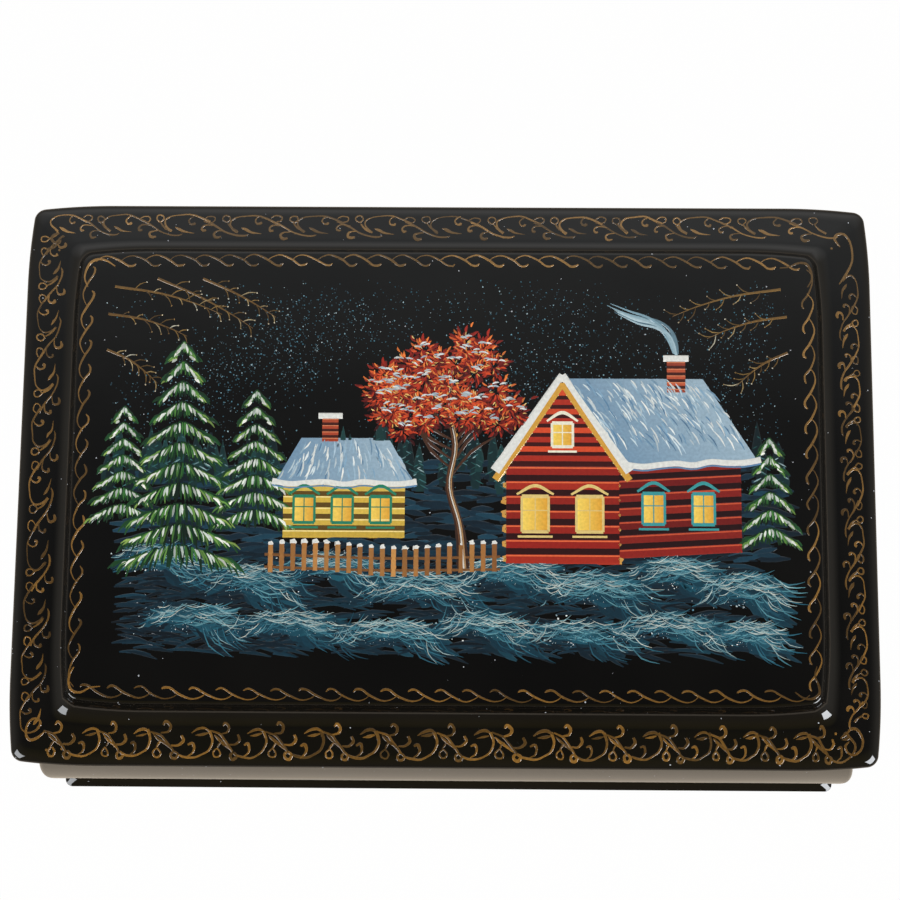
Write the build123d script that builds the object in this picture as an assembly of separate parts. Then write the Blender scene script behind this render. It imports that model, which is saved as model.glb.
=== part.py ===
from build123d import *
import math
import os

# A lacquered papier-mache box. Its lid overhangs four swelling walls that stand on a plinth,
# and opens on two small brass hinges at the back.
# Millimetres, +X along the length with the front at -Y, +Z up, and the origin on the table
# under the middle. An inset is always measured inwards from the lid's outline.

# The lid's outline
lid_length = 150.0
lid_width = 100.4
lid_corner_radius = 2.2
soft_radius = 110.0
soft_turn = 6.5

# The plinth
plinth_height = 7.0
plinth_inset = 1.4
plinth_round_width = 2.4
plinth_round_height = 3.2
plinth_foot_ease = 0.5
plinth_opening_inset = 12.0
plinth_corner_radius = 1.4
plinth_opening_radius = 2.0

# The walls, thickest half way up, where they swell out
wall_height = 49.2
wall_foot_inset = 4.3
wall_swell_inset = 0.5
wall_mouth_inset = 4.2
wall_mouth_thickness = 4.3
wall_corner_radius = 1.6
cavity_radius = 2.0

# The floor board between the walls
bottom_thickness = 3.0
glue_gap = 0.05

# The lid's moulded section
lid_gap = 0.2
lid_under_inset = 0.9
lid_edge_height = 2.0
lid_round_width = 2.2
lid_round_height = 1.2
band_width = 4.5
band_rise = 0.25
step_width = 3.4
step_height = 4.2
panel_ease_width = 0.5
panel_ease_height = 0.25
panel_thickness = 3.0
panel_corner_radius = 2.0
# How far across and how far up the step, a hollow quarter from its level foot to its sharp shoulder
step_shares = [(0.2, 0.02), (0.4, 0.08), (0.6, 0.2), (0.75, 0.34), (0.87, 0.51), (0.95, 0.69), (1.0, 1.0)]

# The frame under the lid that drops inside the walls
lip_clearance = 0.5
lip_thickness = 2.2
lip_depth = 4.0
lip_lead = 0.5

# The hinges
hinge_from_end = 30.0
hinge_width = 16.0
pivot_out = 1.0
knuckle_radius = 1.2
knuckle_clearance = 0.25
knuckle_gap = 0.15
middle_knuckle_length = 5.4
pin_radius = 0.6
pin_clearance = 0.05
leaf_thickness = 0.8
leaf_depth = 3.9
leaf_clearance = 0.05

# The brads that hold the leaves
brad_length = 2.4
brad_radius = 0.4
brad_head_radius = 0.75
brad_head_height = 0.3
brad_spacing = 5.4
brad_in = 2.4
brad_clearance = 0.02
brads_in_a_leaf = 3

# Lofts and cuts
round_steps = 4
swell_sections = 7
overrun = 1.0

# Places that follow from the sizes
wall_top = plinth_height + wall_height
lid_bottom = wall_top + lid_gap
cavity_inset = wall_mouth_inset + wall_mouth_thickness
lip_inset = cavity_inset + lip_clearance
pocket_inset = lip_inset + lip_thickness
step_inset = lid_round_width + band_width
step_foot_height = lid_edge_height + lid_round_height + band_rise
panel_top = lid_bottom + step_foot_height + step_height + panel_ease_height
pivot_y = lid_width / 2 - wall_mouth_inset + pivot_out
pivot_z = wall_top + lid_gap / 2
hinge_x = lid_length / 2 - hinge_from_end
hinge_places = {"left": -hinge_x, "right": hinge_x}


def lid_outline(inset, corner_radius, height):
    """A level face of the lid's plan shape. At each corner the straight sides turn through a long
    soft arc, a small corner arc and a long soft arc again, tangent all the way."""
    long_radius = soft_radius - inset
    turn = math.radians(soft_turn)
    reach = long_radius * (math.sin(turn) + 1 - math.cos(turn))
    reach += corner_radius * (math.cos(turn) - math.sin(turn))
    side_x = lid_length / 2 - inset
    side_y = lid_width / 2 - inset
    straight_x = side_x - reach
    straight_y = side_y - reach
    arcs = [(long_radius, soft_turn), (corner_radius, 90 - 2 * soft_turn), (long_radius, soft_turn)]
    starts = [(side_x, straight_y), (-straight_x, side_y), (-side_x, -straight_y), (straight_x, -side_y)]
    headings = [Vector(0, 1), Vector(-1, 0), Vector(0, -1), Vector(1, 0)]
    edges = []
    for start, heading in zip(starts, headings):
        place = Vector(start)
        for radius, angle in arcs:
            edges.append(JernArc(place, heading, radius, angle))
            place = edges[-1] @ 1
            heading = edges[-1] % 1
    lasts = range(len(arcs) - 1, len(edges), len(arcs))
    sides = [Line(edges[last] @ 1, edges[last + 1 - len(edges)] @ 0) for last in lasts]
    return Pos(0, 0, height) * make_face(edges + sides)


def outline(inset, corner_radius, height):
    """A level face of the plan shape of all that is under the lid: straight sides and round corners."""
    return Pos(0, 0, height) * RectangleRounded(lid_length - 2 * inset, lid_width - 2 * inset, corner_radius)


def block(inset, corner_radius, bottom, top):
    """An upright block of the plan shape with straight sides."""
    return extrude(outline(inset, corner_radius, bottom), top - bottom)


def bar(x_middle, x_size, y_low, y_high, z_low, z_high):
    """A box given by its middle and size along X and by its faces along Y and Z."""
    middle = Pos(x_middle, (y_low + y_high) / 2, (z_low + z_high) / 2)
    return middle * Box(x_size, y_high - y_low, z_high - z_low)


def rod(x_middle, x_size, radius):
    """A cylinder along a hinge's axis."""
    return Pos(x_middle, pivot_y, pivot_z) * Rot(0, 90, 0) * Cylinder(radius, x_size)


def quarter(width, height, steps):
    """The points of a quarter ellipse, from an upright start to a level end, as inset and rise."""
    angles = [math.radians(90 * step / steps) for step in range(1, steps + 1)]
    return [(width * (1 - math.cos(angle)), height * math.sin(angle)) for angle in angles]


def lid_profile():
    """The lid's section from the edge of its underside to its panel, as inset and height."""
    under = quarter(lid_under_inset, lid_edge_height, round_steps)
    points = [(inset, lid_edge_height - drop) for inset, drop in reversed(under)]
    points.append((0, lid_edge_height))
    for inset, rise in quarter(lid_round_width, lid_round_height, round_steps):
        points.append((inset, lid_edge_height + rise))
    points.append((step_inset, step_foot_height))
    for across, up in step_shares:
        points.append((step_inset + across * step_width, step_foot_height + up * step_height))
    eased = step_inset + step_width + panel_ease_width
    points.append((eased, step_foot_height + step_height + panel_ease_height))
    return points


def corner_at(inset):
    """The lid's corner radius, which goes evenly from the edge's to the panel's."""
    share = inset / (step_inset + step_width + panel_ease_width)
    return lid_corner_radius + share * (panel_corner_radius - lid_corner_radius)


def hinge_rooms(side):
    """What is cut away for the leaves of one hinge and for its knuckles: the walls and the lid
    each lose the part of it that reaches into them."""
    x_middle = hinge_places[side]
    leaf_end = pivot_y - pivot_out - leaf_depth - leaf_clearance
    leaf_room = bar(
        x_middle,
        hinge_width + 2 * leaf_clearance,
        leaf_end,
        pivot_y,
        wall_top - leaf_thickness,
        lid_bottom + leaf_thickness,
    )
    knuckle_room = rod(x_middle, hinge_width + 2 * knuckle_clearance, knuckle_radius + knuckle_clearance)
    return leaf_room + knuckle_room


def brad_places(side):
    """The middles of one leaf's brads, as X and Y."""
    first = -brad_spacing * (brads_in_a_leaf - 1) / 2
    row_y = pivot_y - pivot_out - brad_in
    return [(hinge_places[side] + first + brad_spacing * count, row_y) for count in range(brads_in_a_leaf)]


def brads(side, head_face, way, clearance):
    """One leaf's brads, driven from the leaf's free face up (way 1) or down (way -1)."""
    made = []
    for x, y in brad_places(side):
        shank_middle = head_face + way * brad_length / 2
        head_middle = head_face + way * brad_head_height / 2
        shank = Pos(x, y, shank_middle) * Cylinder(brad_radius + clearance, brad_length)
        head = Pos(x, y, head_middle) * Cylinder(brad_head_radius + clearance, brad_head_height)
        made.append(shank + head)
    return made


def without(solid, tools):
    """The solid with each tool cut away."""
    for tool in tools:
        solid = solid - tool
    return solid


def plinth_frame():
    """The foot frame, with a slightly eased foot and a round top edge."""
    points = [(plinth_inset + plinth_foot_ease, 0), (plinth_inset, plinth_foot_ease)]
    points.append((plinth_inset, plinth_height - plinth_round_height))
    for inset, rise in quarter(plinth_round_width, plinth_round_height, round_steps):
        points.append((plinth_inset + inset, plinth_height - plinth_round_height + rise))
    sections = [outline(inset, plinth_corner_radius, height) for inset, height in points]
    opening = block(plinth_opening_inset, plinth_opening_radius, -overrun, plinth_height + overrun)
    return loft(sections, ruled=True) - opening


def wall_inset(height):
    """The outside of the walls: a parabola from the foot to the swell and one from there to the mouth."""
    share = 2 * height / wall_height - 1
    end_inset = wall_foot_inset if share < 0 else wall_mouth_inset
    return wall_swell_inset + (end_inset - wall_swell_inset) * share * share


def wall_shell():
    """The walls in one wound tube, straight inside, with room for the hinges in the back wall's top."""
    heights = [wall_height * step / (swell_sections - 1) for step in range(swell_sections)]
    sections = [outline(wall_inset(rise), wall_corner_radius, plinth_height + rise) for rise in heights]
    tube = loft(sections) - block(cavity_inset, cavity_radius, plinth_height - overrun, wall_top + overrun)
    rooms = [hinge_rooms(side) for side in hinge_places]
    holes = [hole for side in hinge_places for hole in brads(side, wall_top, -1, brad_clearance)]
    return without(tube, rooms + holes)


def bottom_plate():
    """The floor board, which fits between the walls and rests on the plinth frame."""
    inset = cavity_inset + glue_gap
    return block(inset, cavity_radius - glue_gap, plinth_height, plinth_height + bottom_thickness)


def lid_shell():
    """The moulded lid, hollow under its panel."""
    sections = [lid_outline(inset, corner_at(inset), lid_bottom + height) for inset, height in lid_profile()]
    pocket = block(pocket_inset, cavity_radius, lid_bottom - overrun, panel_top - panel_thickness)
    rooms = [hinge_rooms(side) for side in hinge_places]
    holes = [hole for side in hinge_places for hole in brads(side, lid_bottom, 1, brad_clearance)]
    return without(loft(sections, ruled=True) - pocket, rooms + holes)


def lid_lip_frame():
    """The frame glued under the lid, with a lead-in round its lower edge."""
    low = lid_bottom - lip_depth
    points = [(lip_inset + lip_lead, low), (lip_inset, low + lip_lead), (lip_inset, lid_bottom)]
    sections = [outline(inset, cavity_radius, height) for inset, height in points]
    opening = block(pocket_inset, cavity_radius, low - overrun, lid_bottom + overrun)
    return loft(sections, ruled=True) - opening


def hinge_leaf(side, carried_by_lid):
    """A brass leaf with its knuckles: the lid's has the middle one and the walls' has the outer two."""
    x_middle = hinge_places[side]
    outer_length = (hinge_width - middle_knuckle_length) / 2 - knuckle_gap
    outer_middle = (hinge_width - outer_length) / 2
    middle = [(x_middle, middle_knuckle_length)]
    outer = [(x_middle - outer_middle, outer_length), (x_middle + outer_middle, outer_length)]
    own, other = (middle, outer) if carried_by_lid else (outer, middle)
    face = lid_bottom if carried_by_lid else wall_top
    way = 1 if carried_by_lid else -1
    z_low, z_high = sorted([face, face + way * leaf_thickness])
    leaf = bar(x_middle, hinge_width, pivot_y - pivot_out - leaf_depth, pivot_y, z_low, z_high)
    room = knuckle_radius + knuckle_gap
    leaf = without(leaf, [rod(x, length + 2 * knuckle_gap, room) for x, length in other])
    for x, length in own:
        leaf = leaf + rod(x, length, knuckle_radius)
    bore = rod(x_middle, hinge_width + 2 * overrun, pin_radius + pin_clearance)
    return without(leaf, [bore] + brads(side, face, way, brad_clearance))


def hinge_pin(side):
    """The wire pin through one hinge's knuckles."""
    return rod(hinge_places[side], hinge_width, pin_radius)


def leaf_brads(carried_by_lid):
    """The brads of both leaves that the lid, or the walls, carry."""
    face = lid_bottom if carried_by_lid else wall_top
    way = 1 if carried_by_lid else -1
    return Compound(children=[brad for side in hinge_places for brad in brads(side, face, way, 0)])


nodes = {
    "plinth_frame": plinth_frame(),
    "wall_shell": wall_shell(),
    "bottom_plate": bottom_plate(),
    "lid_shell": lid_shell(),
    "lid_lip_frame": lid_lip_frame(),
    "body_leaf_brads": leaf_brads(False),
    "lid_leaf_brads": leaf_brads(True),
}
for side in hinge_places:
    nodes["body_hinge_leaf_" + side] = hinge_leaf(side, False)
    nodes["lid_hinge_leaf_" + side] = hinge_leaf(side, True)
    nodes["hinge_pin_" + side] = hinge_pin(side)

os.makedirs("parts", exist_ok=True)
for name, shape in nodes.items():
    export_step(shape, "parts/" + name + ".step")
    print(name, "volume", round(shape.volume, 2))
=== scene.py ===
# %% [markdown]
# # Dressing a lacquered box
#
# The object is a black lacquered box of papier-mache. Its moulded lid is painted and gilded by hand,
# overhangs a body with swelling walls, and opens on two small brass hinges.
# Blender starts from the imported CAD model of it, which is the frame that every new piece has to fit.
# Loading that first gives the CAD nodes; the bodies that move are made as pieces are attached to them.

# %% Load the imported model
import math

import bpy
import numpy as np
from mathutils import Matrix, Vector


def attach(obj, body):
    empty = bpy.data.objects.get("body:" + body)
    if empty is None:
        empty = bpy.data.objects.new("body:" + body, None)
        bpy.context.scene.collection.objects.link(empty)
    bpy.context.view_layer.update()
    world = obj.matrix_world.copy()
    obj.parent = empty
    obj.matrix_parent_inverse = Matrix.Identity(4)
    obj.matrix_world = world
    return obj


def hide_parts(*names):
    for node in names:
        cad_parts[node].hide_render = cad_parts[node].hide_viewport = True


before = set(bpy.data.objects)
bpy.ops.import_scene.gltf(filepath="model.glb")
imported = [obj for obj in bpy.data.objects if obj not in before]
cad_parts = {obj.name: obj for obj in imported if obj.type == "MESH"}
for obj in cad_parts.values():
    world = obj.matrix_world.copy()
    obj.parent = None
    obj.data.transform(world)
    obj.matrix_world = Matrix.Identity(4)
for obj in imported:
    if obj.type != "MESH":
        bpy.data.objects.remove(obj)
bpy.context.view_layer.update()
MM = 0.001
print("Nodes in the frame:", ", ".join(sorted(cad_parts)))

# %% [markdown]
# The CAD model was drawn in millimetres, and so is everything here until a mesh is made.
# Only the sizes that the new pieces need are repeated. An inset is measured inwards from the lid's
# outline, which keeps the many nested outlines of such a box in one family.

# %% Sizes shared with the CAD model, in millimetres
lid_length = 150.0
lid_width = 100.4
lid_corner_radius = 2.2
soft_radius = 110.0
soft_turn = math.radians(6.5)
wall_bottom = 7.0
wall_height = 49.2
wall_top = wall_bottom + wall_height
lid_bottom = wall_top + 0.2
lid_edge_height = 2.0
step_inset = 6.7
step_width = 3.4
step_height = 4.2
panel_inset = 10.6
panel_ease_height = 0.25
panel_corner_radius = 2.0
cavity_inset = 8.5
cavity_radius = 2.0
pocket_inset = 11.2
print("The lid is", lid_length, "by", lid_width, "mm and its underside is", lid_bottom, "mm up")

# %% [markdown]
# Every new piece is an array of points and a list of faces, and one helper turns them into an object.
# The object itself is left at the origin, so its place is in its mesh, as it is for a CAD node.


# %% A helper that makes a piece
def make_piece(name, points, faces, materials, face_materials=None):
    """A mesh object from an array of points in millimetres, its faces and the material of each."""
    mesh = bpy.data.meshes.new(name)
    mesh.from_pydata((points * MM).tolist(), [], faces)
    for material in materials:
        mesh.materials.append(material)
    if face_materials is not None:
        mesh.polygons.foreach_set("material_index", np.asarray(face_materials, dtype=np.int32))
    mesh.shade_smooth()
    mesh.update()
    piece = bpy.data.objects.new(name, mesh)
    bpy.context.scene.collection.objects.link(piece)
    print(name, "has", len(points), "points and", len(faces), "faces")
    return piece


# %% [markdown]
# ## Camera
#
# The photograph was taken from almost straight above, a little from the front, and turned slightly.
# The camera's place, its lens and its roll were worked out from the lid's edges and corners and from
# the two bands that show below the lid, so the perspective is the photograph's own.

# %% Place the camera
camera_place = Vector((7.10, -92.69, 502.69)) * MM
aim_place = Vector((0.638, 5.593, 58.4)) * MM
camera_roll = math.radians(3.367)
forward = (aim_place - camera_place).normalized()
level_right = forward.cross(Vector((0, 0, 1))).normalized()
level_up = level_right.cross(forward)
camera_up = math.cos(camera_roll) * level_up + math.sin(camera_roll) * level_right
camera_right = math.cos(camera_roll) * level_right - math.sin(camera_roll) * level_up
camera_turn = Matrix((camera_right, camera_up, -forward)).transposed().to_4x4()

camera_data = bpy.data.cameras.new("photo_camera")
camera_data.sensor_width = 36.0
camera_data.lens = 103.66
camera_data.clip_start = 0.01
camera = bpy.data.objects.new("photo_camera", camera_data)
camera.matrix_world = Matrix.Translation(camera_place) @ camera_turn
bpy.context.scene.collection.objects.link(camera)
bpy.context.scene.camera = camera
bpy.context.scene.view_settings.view_transform = "Standard"
print("The camera looks down at", round(math.degrees(math.asin(-forward.z)), 1), "degrees")

# %% [markdown]
# ## Helpers for node trees
#
# Materials, the world and the ground are all node trees. A few short helpers keep them readable: they
# add a node with its settings, name the steps that return, and start a shader group.


# %% A node and its inputs
def set_inputs(tree, node, values):
    """Gives the inputs of a node, by name or place, their plain values or links."""
    for name, value in values.items():
        if isinstance(value, bpy.types.NodeSocket):
            tree.links.new(value, node.inputs[name])
        else:
            node.inputs[name].default_value = value


def add_node(tree, kind, values=None, **settings):
    """A node of that kind, with its settings and its inputs."""
    node = tree.nodes.new(kind)
    for name, value in settings.items():
        setattr(node, name, value)
    set_inputs(tree, node, values or {})
    return node


print("Inputs take plain values and links alike")


# %% Steps that return in many trees
def calculate(tree, operation, first, second=0.0, third=0.0):
    """A Math node's result for up to three inputs, each a number or a link."""
    values = {0: first, 1: second, 2: third}
    return add_node(tree, "ShaderNodeMath", values, operation=operation).outputs[0]


def remap(tree, value, low=0.0, high=1.0, to_low=0.0, to_high=1.0):
    """A value carried evenly from one range to another and kept inside it."""
    values = {"Value": value, "From Min": low, "From Max": high, "To Min": to_low, "To Max": to_high}
    return add_node(tree, "ShaderNodeMapRange", values).outputs[0]


def noise(tree, place, scale, detail):
    """Soft random values over a place."""
    values = {"Vector": place, "Scale": scale, "Detail": detail}
    return add_node(tree, "ShaderNodeTexNoise", values).outputs["Fac"]


def bump(tree, height, strength, distance):
    """A normal tilted by the slope of a height, which the distance turns into metres."""
    values = {"Height": height, "Strength": strength, "Distance": distance}
    return add_node(tree, "ShaderNodeBump", values).outputs[0]


def blend_colours(tree, share, first, second, mode="MIX"):
    """Two colours mixed by a share, each a colour or a link."""
    values = {0: share, 6: first, 7: second}
    return add_node(tree, "ShaderNodeMix", values, data_type="RGBA", blend_type=mode).outputs[2]


def ramp(tree, share, stops):
    """A colour ramp through stops of (place, colour)."""
    node = add_node(tree, "ShaderNodeValToRGB", {"Fac": share})
    for place, colour in stops[1:-1]:
        node.color_ramp.elements.new(place).color = (*colour, 1)
    first, last = node.color_ramp.elements[0], node.color_ramp.elements[-1]
    first.position, first.color = stops[0][0], (*stops[0][1], 1)
    last.position, last.color = stops[-1][0], (*stops[-1][1], 1)
    return node.outputs["Color"]


def ray_kinds(tree):
    """Whether a ray comes from the camera, and whether it comes from a mirror or through glass."""
    rays = add_node(tree, "ShaderNodeLightPath").outputs
    bounced = calculate(tree, "MAXIMUM", rays["Is Glossy Ray"], rays["Is Transmission Ray"])
    return rays["Is Camera Ray"], bounced


print("Steps: sums, ranges, noise, bumps, mixed colours, ramps and kinds of ray")


# %% Shader groups
def start_group(name, numbers, results):
    """A new shader group with a vector and numbers going in and numbers coming out, as its tree, its
    inputs and its output node."""
    tree = bpy.data.node_groups.new(name, "ShaderNodeTree")
    tree.interface.new_socket("Vector", in_out="INPUT", socket_type="NodeSocketVector")
    for label, value in numbers.items():
        socket = tree.interface.new_socket(label, in_out="INPUT", socket_type="NodeSocketFloat")
        socket.default_value = value
    for label in results:
        tree.interface.new_socket(label, in_out="OUTPUT", socket_type="NodeSocketFloat")
    return tree, tree.nodes.new("NodeGroupInput").outputs, tree.nodes.new("NodeGroupOutput")


print("Every group takes a vector and numbers, and gives numbers")

# %% [markdown]
# ## Studio
#
# The photograph has a pure white ground with hardly a shadow, yet the lacquer mirrors a dark ceiling
# above the camera, a grey glow behind the box, a brown dimness in front of it down to the table, and
# something pale at the sides. A mirror-like black surface shows little else, so that is the look.
# The world gives it to glossy rays by their direction, and a plain white to the camera and an even
# light to everything that is not a mirror.

# %% The world
world = bpy.data.worlds.new("studio")
world.use_nodes = True
bpy.context.scene.world = world
tree = world.node_tree
tree.nodes.clear()
way = add_node(tree, "ShaderNodeTexCoord").outputs["Generated"]
parts = add_node(tree, "ShaderNodeSeparateXYZ", {"Vector": way}).outputs
along_depth = calculate(tree, "MULTIPLY_ADD", parts["Y"], 0.5, 0.5)
overhead = ramp(
    tree,
    along_depth,
    [
        (0.0, (0.16, 0.13, 0.09)),
        (0.12, (0.20, 0.16, 0.08)),
        (0.30, (0.20, 0.155, 0.06)),
        (0.47, (0.13, 0.11, 0.04)),
        (0.53, (0.03, 0.03, 0.03)),
        (0.575, (0.05, 0.055, 0.06)),
        (0.61, (0.12, 0.13, 0.14)),
        (0.645, (0.38, 0.40, 0.41)),
        (0.70, (0.66, 0.68, 0.69)),
        (0.88, (1.15, 1.14, 1.12)),
        (1.0, (0.7, 0.69, 0.68)),
    ],
)
sideways = calculate(tree, "ABSOLUTE", parts["X"])
aside = calculate(tree, "POWER", remap(tree, sideways, 0.10, 0.85), 1.6)
level = remap(tree, parts["Z"], 0.45, 0.15)
behind = remap(tree, parts["Y"], -0.1, 0.25)
low_behind = calculate(tree, "MULTIPLY", level, behind)
pale_share = calculate(tree, "MAXIMUM", aside, low_behind)
mirrored = blend_colours(tree, pale_share, overhead, (0.40, 0.375, 0.33, 1))
to_camera, bounced = ray_kinds(tree)
seen = calculate(tree, "MAXIMUM", bounced, to_camera)
shown = blend_colours(tree, to_camera, mirrored, (1, 1, 1, 1))
picture_light = add_node(tree, "ShaderNodeBackground", {"Color": shown, "Strength": 1.0}).outputs[0]
even_values = {"Color": (0.95, 0.97, 1.0, 1), "Strength": 0.55}
even_light = add_node(tree, "ShaderNodeBackground", even_values).outputs[0]
mixed = add_node(tree, "ShaderNodeMixShader", {0: seen, 1: even_light, 2: picture_light})
add_node(tree, "ShaderNodeOutputWorld", {"Surface": mixed.outputs[0]})
print("The world has", len(tree.nodes), "nodes")

# %% [markdown]
# The ground is one large sheet. For the camera it is nearly all a plain white of its own, and the rest
# is a warm brown that the lamps light, which keeps a trace of the box's shadow. In mirrors much less of it
# is its own, so the walls mirror mostly that lit part. Its brown is a painted shade: the mirrored ground
# beside the box looks darker and warmer, as ground in the box's shade, on top of the lamps' real shadow.

# %% The ground
ground_half = 3000.0
own_white_to_camera = 0.99
own_white_in_mirrors = 0.12
ground_material = bpy.data.materials.new("ground_white")
ground_material.use_nodes = True
tree = ground_material.node_tree
tree.nodes.clear()
to_camera, bounced = ray_kinds(tree)
in_mirrors = calculate(tree, "MULTIPLY", bounced, own_white_in_mirrors)
in_picture = calculate(tree, "MULTIPLY", to_camera, own_white_to_camera)
share = calculate(tree, "MAXIMUM", in_mirrors, in_picture)
# The lit part is brown, not white: a painted shade for the ground that the walls mirror.
lit = add_node(tree, "ShaderNodeBsdfDiffuse", {"Color": (0.62, 0.50, 0.36, 1)})
own = add_node(tree, "ShaderNodeEmission", {"Color": (1.0, 1.0, 1.0, 1), "Strength": 1.0})
mixed = add_node(tree, "ShaderNodeMixShader", {0: share, 1: lit.outputs[0], 2: own.outputs[0]})
add_node(tree, "ShaderNodeOutputMaterial", {"Surface": mixed.outputs[0]})
ground_points = np.array([[-1, -1, 0], [1, -1, 0], [1, 1, 0], [-1, 1, 0]]) * ground_half
ground = make_piece("ground", ground_points, [(0, 1, 2, 3)], [ground_material])

# %% [markdown]
# Two large soft lamps stand in front of the box, one to each side. Only the rounded front corners can
# mirror them towards the camera, which makes the compact white lights that tell the eye how glossy
# the lacquer is. Their size sets the size of those lights, and their power the brightness of the
# paint, so each is made twice: a wide one that only mirrors see and a small one that only lights.


# %% The lamps
def add_lamp(name, azimuth, elevation, distance, size, power):
    """A square lamp aimed at the box, placed by its direction and distance."""
    flat = distance * math.cos(elevation)
    place = Vector((flat * math.sin(azimuth), -flat * math.cos(azimuth), distance * math.sin(elevation)))
    data = bpy.data.lights.new(name, "AREA")
    data.size = size
    data.energy = power
    data.color = (0.93, 0.96, 1.0)
    lamp = bpy.data.objects.new(name, data)
    lamp.location = place
    lamp.rotation_euler = place.to_track_quat("Z", "Y").to_euler()
    bpy.context.scene.collection.objects.link(lamp)
    return lamp


lamp_distance = 1.2
lamp_azimuth = math.radians(52)
lamp_elevation = math.radians(38)
key_size = 0.26
key_behind = 0.1
key_power = 6.5
soft_size = 0.6
soft_brightness = {"left": 9.0, "right": 16.0}
for side, way in (("left", -1), ("right", 1)):
    turn = way * lamp_azimuth
    key_distance = lamp_distance + key_behind
    key = add_lamp("key_" + side, turn, lamp_elevation, key_distance, key_size, key_power)
    key.visible_glossy = False
    soft_power = soft_brightness[side] * math.pi * soft_size**2
    soft = add_lamp("soft_" + side, turn, lamp_elevation, lamp_distance, soft_size, soft_power)
    soft.visible_diffuse = False
    soft.visible_camera = False
print("Lamps:", soft_size, "m wide in mirrors,", key_power, "W each for the rest")

# %% [markdown]
# ## Effects that several finishes share
#
# No lacquered surface is perfect. Three small effects return in most of the finishes below, so each
# is a shader group: settled dust, the faint waviness of lacquer that was flooded on and polished by
# hand, and the streaks that a brush leaves in paint.

# %% Dust
tree, given, result = start_group("settled_dust", {"Spacing": 400.0, "Amount": 0.1}, ["Mask"])
cells = add_node(tree, "ShaderNodeTexVoronoi", {"Vector": given["Vector"], "Scale": given["Spacing"]})
chosen = add_node(tree, "ShaderNodeSeparateColor", {"Color": cells.outputs["Color"]}).outputs
crowded = calculate(tree, "MULTIPLY", noise(tree, given["Vector"], 38.0, 2.0), given["Amount"])
kept = calculate(tree, "LESS_THAN", chosen["Red"], crowded)
reach = calculate(tree, "MULTIPLY", chosen["Green"], 0.22)
near = calculate(tree, "LESS_THAN", cells.outputs["Distance"], reach)
set_inputs(tree, result, {"Mask": calculate(tree, "MULTIPLY", kept, near)})
dust_group = tree
print("Group", dust_group.name)

# %% Waviness of hand-polished lacquer
tree, given, result = start_group("hand_polish", {"Broad": 55.0, "Fine": 900.0}, ["Height", "Tone"])
broad = noise(tree, given["Vector"], given["Broad"], 1.0)
fine = noise(tree, given["Vector"], given["Fine"], 2.0)
height = calculate(tree, "ADD", broad, calculate(tree, "MULTIPLY", fine, 0.02))
set_inputs(tree, result, {"Height": height, "Tone": broad})
polish_group = tree
print("Group", polish_group.name)

# %% Brush streaks
tree, given, result = start_group("brush_streaks", {"Scale": 1500.0, "Strength": 0.3}, ["Factor"])
centred = calculate(tree, "SUBTRACT", noise(tree, given["Vector"], given["Scale"], 3.0), 0.5)
swing = calculate(tree, "MULTIPLY", centred, given["Strength"])
set_inputs(tree, result, {"Factor": calculate(tree, "ADD", swing, 1.0)})
streak_group = tree
print("Group", streak_group.name)

# %% [markdown]
# ## Finishes
#
# Black lacquer is a very dark oil varnish in many coats, polished to a mirror. Its colour hardly
# matters: nearly all that is seen is the reflection, broken by waviness and a little dust.


# %% Lacquer
def use_group(tree, group, values):
    """The outputs of a shader group placed in a material, with its inputs set."""
    return add_node(tree, "ShaderNodeGroup", values, node_tree=group).outputs


def start_material(name):
    """A material with its node tree, its Principled shader and Object coordinates."""
    material = bpy.data.materials.new(name)
    material.use_nodes = True
    tree = material.node_tree
    shader = tree.nodes["Principled BSDF"]
    place = add_node(tree, "ShaderNodeTexCoord").outputs["Object"]
    return material, tree, shader, place


def make_lacquer(name, deep, light, roughness, dust):
    """Lacquer whose colour drifts between two tones, with hand-polished waviness and dust on it."""
    material, tree, shader, place = start_material(name)
    polish = use_group(tree, polish_group, {"Vector": place})
    dusty = use_group(tree, dust_group, {"Vector": place, "Spacing": 1500.0, "Amount": dust})["Mask"]
    colour = blend_colours(tree, polish["Tone"], (*deep, 1), (*light, 1))
    colour = blend_colours(tree, dusty, colour, (0.42, 0.43, 0.45, 1))
    smear = remap(tree, polish["Tone"], to_low=roughness, to_high=roughness * 1.9)
    dulled = calculate(tree, "MULTIPLY_ADD", dusty, 0.5, smear)
    wavy = bump(tree, polish["Height"], 0.06, 0.001)
    set_inputs(tree, shader, {"Base Color": colour, "Roughness": dulled, "Normal": wavy, "IOR": 1.5})
    return material


black_lacquer = make_lacquer("black_lacquer", (0.0022, 0.0020, 0.0018), (0.0060, 0.0052, 0.0042), 0.03, 0.07)
red_lacquer = make_lacquer("red_lacquer", (0.30, 0.022, 0.014), (0.42, 0.040, 0.022), 0.09, 0.02)
print("Lacquers:", black_lacquer.name, red_lacquer.name)

# %% [markdown]
# Brass leaves and steel pins are drawn and rolled metal, so they get fine lines along the hinge's
# length and a slight tarnish that varies from place to place.


# %% Metals
def make_metal(name, bright, tarnished, roughness):
    """Metal with fine lines along X and a tarnish in soft patches."""
    material, tree, shader, place = start_material(name)
    stretched = add_node(tree, "ShaderNodeMapping", {"Vector": place, "Scale": (150.0, 5200.0, 5200.0)})
    patches = noise(tree, place, 420.0, 3.0)
    colour = blend_colours(tree, patches, (*bright, 1), (*tarnished, 1))
    dull = remap(tree, patches, to_low=roughness, to_high=roughness * 1.7)
    lined = bump(tree, noise(tree, stretched.outputs[0], 1.0, 2.0), 0.12, 0.0001)
    set_inputs(tree, shader, {"Base Color": colour, "Roughness": dull, "Normal": lined, "Metallic": 1.0})
    return material


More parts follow.
